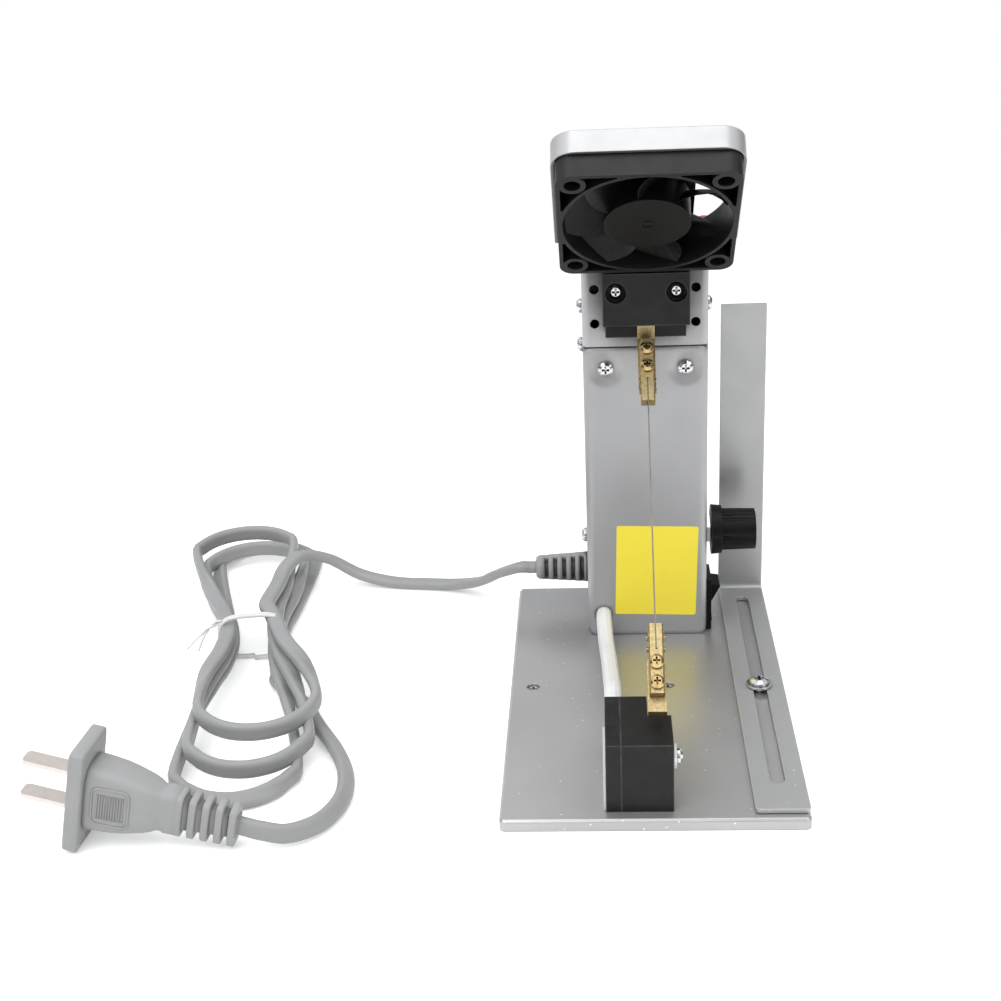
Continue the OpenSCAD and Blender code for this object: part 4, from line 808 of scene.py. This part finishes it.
# Painted shade darkens the screw recesses
chrome = surface("plated_screw", (0.68, 0.68, 0.69), 0.2, 1.0, rough_vary=0.05, vary=0.08, patch=300,
                 grain=4000, bump=0.05, bevel=0.0002, painted_shade=(0.07, 0.065, 0.06), reach=0.0012)
# Painted shade darkens the brass in its slots and screw seats
brass = surface("machined_brass", (0.47, 0.37, 0.19), 0.42, **BRASS, vary=0.28, patch=1100, grain=1500,
                bump=0.15, depth=0.00005, stretch=(0.6, 1, 1), painted_shade=(0.3, 0.15, 0.06), reach=0.0007)
# Painted shade, reddish brown, darkens the screw recesses
brass_screw = surface("brass_screw", (0.6, 0.45, 0.2), 0.21, **BRASS, vary=0.06, patch=300, grain=4000,
                      bump=0.02, depth=0.00004, painted_shade=(0.1, 0.035, 0.012), reach=0.0013)
blade_steel = surface("heated_blade", (0.2, 0.17, 0.16), 0.4, 0.9, vary=0.3, patch=90, grain=3000, bump=0.1,
                      bevel=0.0)
# The lighter edges of the black blocks are painted edge highlights
bakelite = surface("moulded_block", (0.0095, 0.0095, 0.0098), 0.42, vary=0.45, patch=95, grain=1500,
                   bump=0.35, depth=0.0001, bevel=0.0005, wear_and_highlight=0.8, wear_and_highlight_tint=(0.12, 0.12, 0.12),
                   specular=0.26)
fan_plastic = surface("fan_plastic", (0.009, 0.009, 0.0092), 0.44, vary=0.2, patch=50, grain=2200, bump=0.3,
                      wear_and_highlight=0.5, wear_and_highlight_tint=(0.05, 0.05, 0.052), specular=0.34)
blade_plastic = surface("fan_blade_plastic", (0.005, 0.005, 0.0052), 0.36, vary=0.2, patch=70, grain=2600,
                        bump=0.15, specular=0.18)
knob_plastic = surface("knob_plastic", (0.004, 0.004, 0.0042), 0.34, rough_vary=0.05, vary=0.2, patch=80,
                       grain=2500, bump=0.2, wear_and_highlight=0.2, wear_and_highlight_tint=(0.04, 0.04, 0.04), specular=0.16)
sleeve = surface("white_sleeve", (0.78, 0.78, 0.77), 0.36, vary=0.03, patch=60, grain=1600, bump=0.12,
                 coat=0.15)
fibre = surface("white_fibre", (0.78, 0.77, 0.72), 0.7, vary=0.06, patch=90, grain=1800, bump=0.4)
rubber = surface("cord_rubber", (0.31, 0.31, 0.31), 0.46, vary=0.05, patch=35, grain=1400, bump=0.18,
                 bevel=0.0, specular=0.45)
# Painted shade darkens the gaps between the plug's ribs
plug_rubber = surface("plug_rubber", (0.34, 0.34, 0.34), 0.46, vary=0.05, patch=45, grain=1200, bump=0.2,
                      bevel=0.0, specular=0.45, painted_shade=(0.1, 0.1, 0.1), reach=0.0018)
# Painted shade darkens the slots of the strain relief
relief_rubber = surface("relief_rubber", (0.33, 0.33, 0.33), 0.5, vary=0.06, patch=60, grain=1300, bump=0.25,
                        bevel=0.0004, painted_shade=(0.03, 0.03, 0.03), reach=0.006)
pin_metal = surface("pin_metal", (0.66, 0.6, 0.56), 0.36, 1.0, rough_vary=0.06, vary=0.06, patch=150,
                    grain=1200, bump=0.08, depth=0.00004, stretch=(1, 0.15, 1), bevel=0.0)
red_lead = surface("red_lead", (0.42, 0.02, 0.015), 0.38, vary=0.08, patch=100, grain=1500, bump=0.1,
                   bevel=0.0)
bronze = surface("bronze", (0.4, 0.26, 0.12), 0.45, 1.0, vary=0.15, patch=300, grain=3000, bump=0.3)
copper = surface("winding", (0.33, 0.11, 0.045), 0.4, 0.3, vary=0.15, patch=120, grain=1400, bump=0.6,
                 stretch=(0.05, 0.05, 1))
core = surface("laminations", (0.2, 0.2, 0.21), 0.5, 0.8, vary=0.15, patch=90, grain=1800, bump=0.6,
               stretch=(0.03, 1, 0.03))
board = surface("board", (0.03, 0.16, 0.07), 0.35, vary=0.15, patch=140, grain=1500, bump=0.1)
sticker_paper = surface("yellow_paper", (0.98, 0.81, 0.06), 0.35, vary=0.02, patch=50, grain=1500, bump=0.05,
                        bevel=0.0)
mark_paint = surface("mark_paint", (0.72, 0.72, 0.7), 0.5, vary=0.05, patch=200, grain=2500, bump=0.2,
                     bevel=0.0)

FINISHES = {
    base_paint: ("base_plate",),
    cover_paint: ("front_cover",),
    paint: ("column_shell", "inner_bracket"),
    fence_paint: ("fence",),
    hood_paint_lit_and_shaded: ("head_bracket",),
    chrome: ("sunk_screws", "column_screws", "cover_screws", "side_screws", "fan_screws",
             "upper_block_screws", "holder_screws", "cross_screw", "block_screws", "fence_screw",
             "fence_washer", "regulator_nut", "regulator_shaft", "fan_shaft"),
    brass: ("upper_holder", "upper_blade_end", "lower_blade_end", "lower_holder"),
    brass_screw: ("upper_clamp_screws", "upper_jaw_screws", "lower_clamp_screws", "lower_jaw_screws"),
    blade_steel: ("blade",),
    bakelite: ("upper_block", "upper_insulator", "lower_block", "block_cheek"),
    fan_plastic: ("fan_frame", "regulator_body", "board_parts"),
    blade_plastic: ("fan_impeller",),
    knob_plastic: ("control_knob", "rocker_body", "rocker_paddle"),
    sleeve: ("lead_sleeve",),
    fibre: ("insulating_strip", "cross_washer"),
    pin_metal: ("plug_pins",),
    red_lead: ("fan_lead",),
    bronze: ("fan_bearing",),
    copper: ("fan_stator", "transformer_coil"),
    core: ("transformer_core",),
    board: ("control_board",),
}


def finish_nodes():
    """Gives every slot of each CAD node its finish."""
    for mat, names in FINISHES.items():
        for name in names:
            slots = nodes[name].data.materials
            if slots:
                for i in range(len(slots)):
                    slots[i] = mat
            else:
                slots.append(mat)


finish_nodes()
cord.data.materials.append(rubber)
plug.data.materials.append(plug_rubber)
relief.data.materials.append(relief_rubber)
for piece in tie:
    piece.data.materials.append(sleeve)


# A plain blank sticker on the cover, a little askew
STICKER_AT = Vector((5.6, 0, 31.4)) * MM
STICKER_W = 31.2 * MM
STICKER_H = 37.4 * MM
STICKER_R = 0.8 * MM
STICKER_TILT = math.radians(1.6)
STICKER_PROUD = 0.00012
STICKER_SUNK = 0.00002


def make_sticker():
    cover_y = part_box("front_cover")[0].y
    c, s = math.cos(STICKER_TILT), math.sin(STICKER_TILT)
    outline = rounded_box(STICKER_W, STICKER_H, STICKER_R)
    turned = [(STICKER_AT.x + x * c + z * s, STICKER_AT.z + z * c - x * s) for x, z in outline]
    front = [(x, cover_y - STICKER_PROUD, z) for x, z in turned]
    back = [(x, cover_y + STICKER_SUNK, z) for x, z in turned]
    n = len(outline)
    faces = [tuple(range(n)), tuple(range(2 * n - 1, n - 1, -1))]
    faces += [(i, n + i, n + (i + 1) % n, (i + 1) % n) for i in range(n)]
    sticker = mesh_object("blank_sticker", front + back, faces, smooth=False)
    sticker.data.materials.append(sticker_paper)
    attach(sticker, "base")


make_sticker()


# A pointer line on the knob and a short dash on the rocker
POINTER_SIZE = (0.0004, 0.0011, 0.0066)
POINTER_OUT = 0.0046
DASH_SIZE = (0.0004, 0.0042, 0.0011)
MARK_BEVEL = 0.3
ROCKER_AXIS = Vector((25.5, 53.5, 15.1))
ROCKER_REST = math.radians(12)
ROCKER_SLOPE = math.radians(15.2)
ROCKER_DASH = Vector((2.5, 0, 4.0))


def mark(name, centre, size, turn, body):
    """A thin painted bar with softened edges."""
    corners = [(x, y, z) for x in (-0.5, 0.5) for y in (-0.5, 0.5) for z in (-0.5, 0.5)]
    verts = [centre + turn @ Vector((x * size[0], y * size[1], z * size[2])) for x, y, z in corners]
    faces = [(0, 1, 3, 2), (4, 6, 7, 5), (0, 4, 5, 1), (2, 3, 7, 6), (0, 2, 6, 4), (1, 5, 7, 3)]
    obj = mesh_object(name, verts, faces, smooth=False)
    bevel = obj.modifiers.new("rounded", "BEVEL")
    bevel.width = min(size) * MARK_BEVEL
    bevel.segments = 2
    obj.data.materials.append(mark_paint)
    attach(obj, body)


def make_marks():
    """Both marks, each riding on what it marks."""
    low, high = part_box("control_knob")
    on_knob = Vector((high.x, (low.y + high.y) / 2, (low.z + high.z) / 2 + POINTER_OUT))
    mark("knob_pointer", on_knob, POINTER_SIZE, Matrix.Identity(3), "knob")
    tip = Matrix.Rotation(ROCKER_REST, 3, "Y")
    slope = Matrix.Rotation(ROCKER_SLOPE, 3, "Y")
    on_rocker = (ROCKER_AXIS + tip @ ROCKER_DASH) * MM
    mark("rocker_dash", on_rocker, DASH_SIZE, tip @ slope, "rocker")


make_marks()


# The floor: white paper that keeps shadows near the object and fades to plain white further out
FLOOR_HALF = 3.0
FLOOR_Z = -0.0002
FLOOR_SCALE = 3.0
FLOOR_TINTS = ((0.92, 0.92, 0.92), (0.95, 0.95, 0.95))
FLOOR_ROUGHNESS = 0.8
FLOOR_GLOW = 0.32
FADE_FROM = 0.35
FADE_TO = 0.75
WHITE = (1, 1, 1)


def seen(g):
    """One where the ray is the camera's, a reflection's or a refraction's, and zero for lighting."""
    path = g.add("ShaderNodeLightPath").outputs
    seen_or_mirrored = g.compute("MAXIMUM", path["Is Camera Ray"], path["Is Glossy Ray"])
    return g.compute("MAXIMUM", seen_or_mirrored, path["Is Transmission Ray"])


def floor_paper():
    """Matt paper for lighting and shadows, shown lifted a little and fading to plain white."""
    g = Finish("floor_paper")
    tone = g.spread(g.noise(g.mapped(), FLOOR_SCALE), 0.0, 1.0)
    g.link(g.blend(tone, *FLOOR_TINTS), g.shader.inputs["Base Color"])
    g.set(Roughness=FLOOR_ROUGHNESS)
    paper = g.shader.outputs["BSDF"]
    lifted = g.add("ShaderNodeAddShader")
    g.link(paper, lifted.inputs[0])
    g.link(g.light("ShaderNodeEmission", WHITE, FLOOR_GLOW).outputs[0], lifted.inputs[1])
    distance = g.add("ShaderNodeVectorMath", operation="LENGTH")
    g.link(g.coords.outputs["Object"], distance.inputs[0])
    far = g.spread(distance.outputs["Value"], 0.0, 1.0, FADE_FROM, FADE_TO)
    blank = g.light("ShaderNodeEmission", WHITE, 1.0)
    shown = g.mix_shader(far, lifted.outputs[0], blank.outputs[0])
    g.link(g.mix_shader(seen(g), paper, shown), g.out.inputs["Surface"])
    return g.mat


def make_floor():
    signs = ((-1, -1), (1, -1), (1, 1), (-1, 1))
    corners = [(x * FLOOR_HALF, y * FLOOR_HALF, FLOOR_Z) for x, y in signs]
    floor = mesh_object("floor", corners, [(0, 1, 2, 3)], smooth=False)
    floor.data.materials.append(floor_paper())


# The studio's two broad glows: where each lies, its least and most strength, and where it starts and ends
WORLD_GLOWS = (((0, -0.1, 1), 0.14, 0.82, 0.2, 0.62), ((-0.62, 0.68, 0.4), 0.0, 0.55, 0.6, 0.98))
WORLD_TINT = (0.96, 0.98, 1.0)

# The lamps: name, place, target, size and watts
LAMPS = (("key", (-0.55, -0.75, 1.05), (-0.02, 0, 0.08), (0.9, 0.7), 6.8),
         ("fill", (0.95, -0.65, 0.75), (0, 0, 0.1), (0.8, 0.8), 3.2),
         ("top", (0.03, -0.15, 1.3), (0, 0.02, 0.05), (1.1, 1.0), 5.6))


def make_world():
    """Lights the object with the glows, and shows the camera plain white."""
    world = bpy.data.worlds.new("studio")
    scene.world = world
    g = Graph(world, "ShaderNodeOutputWorld")
    strengths = []
    for toward, low, high, start, end in WORLD_GLOWS:
        dot = g.add("ShaderNodeVectorMath", operation="DOT_PRODUCT")
        g.link(g.coords.outputs["Generated"], dot.inputs[0])
        dot.inputs[1].default_value = Vector(toward).normalized()
        strengths.append(g.spread(dot.outputs["Value"], low, high, start, end, "SMOOTHSTEP"))
    studio = g.light("ShaderNodeBackground", WORLD_TINT, 1.0)
    g.link(g.compute("ADD", *strengths), studio.inputs["Strength"])
    white = g.light("ShaderNodeBackground", WHITE, 1.0)
    path = g.add("ShaderNodeLightPath")
    shown = g.mix_shader(path.outputs["Is Camera Ray"], studio.outputs[0], white.outputs[0])
    g.link(shown, g.out.inputs["Surface"])


def area_light(name, at, target, size, watts):
    data = bpy.data.lights.new(name, "AREA")
    data.shape = "RECTANGLE"
    data.size, data.size_y = size
    data.energy = watts
    obj = bpy.data.objects.new(name, data)
    obj.location = at
    obj.rotation_euler = (Vector(target) - Vector(at)).to_track_quat("-Z", "Y").to_euler()
    scene.collection.objects.link(obj)


make_floor()
make_world()
for lamp in LAMPS:
    area_light(*lamp)
scene.view_settings.view_transform = "Standard"
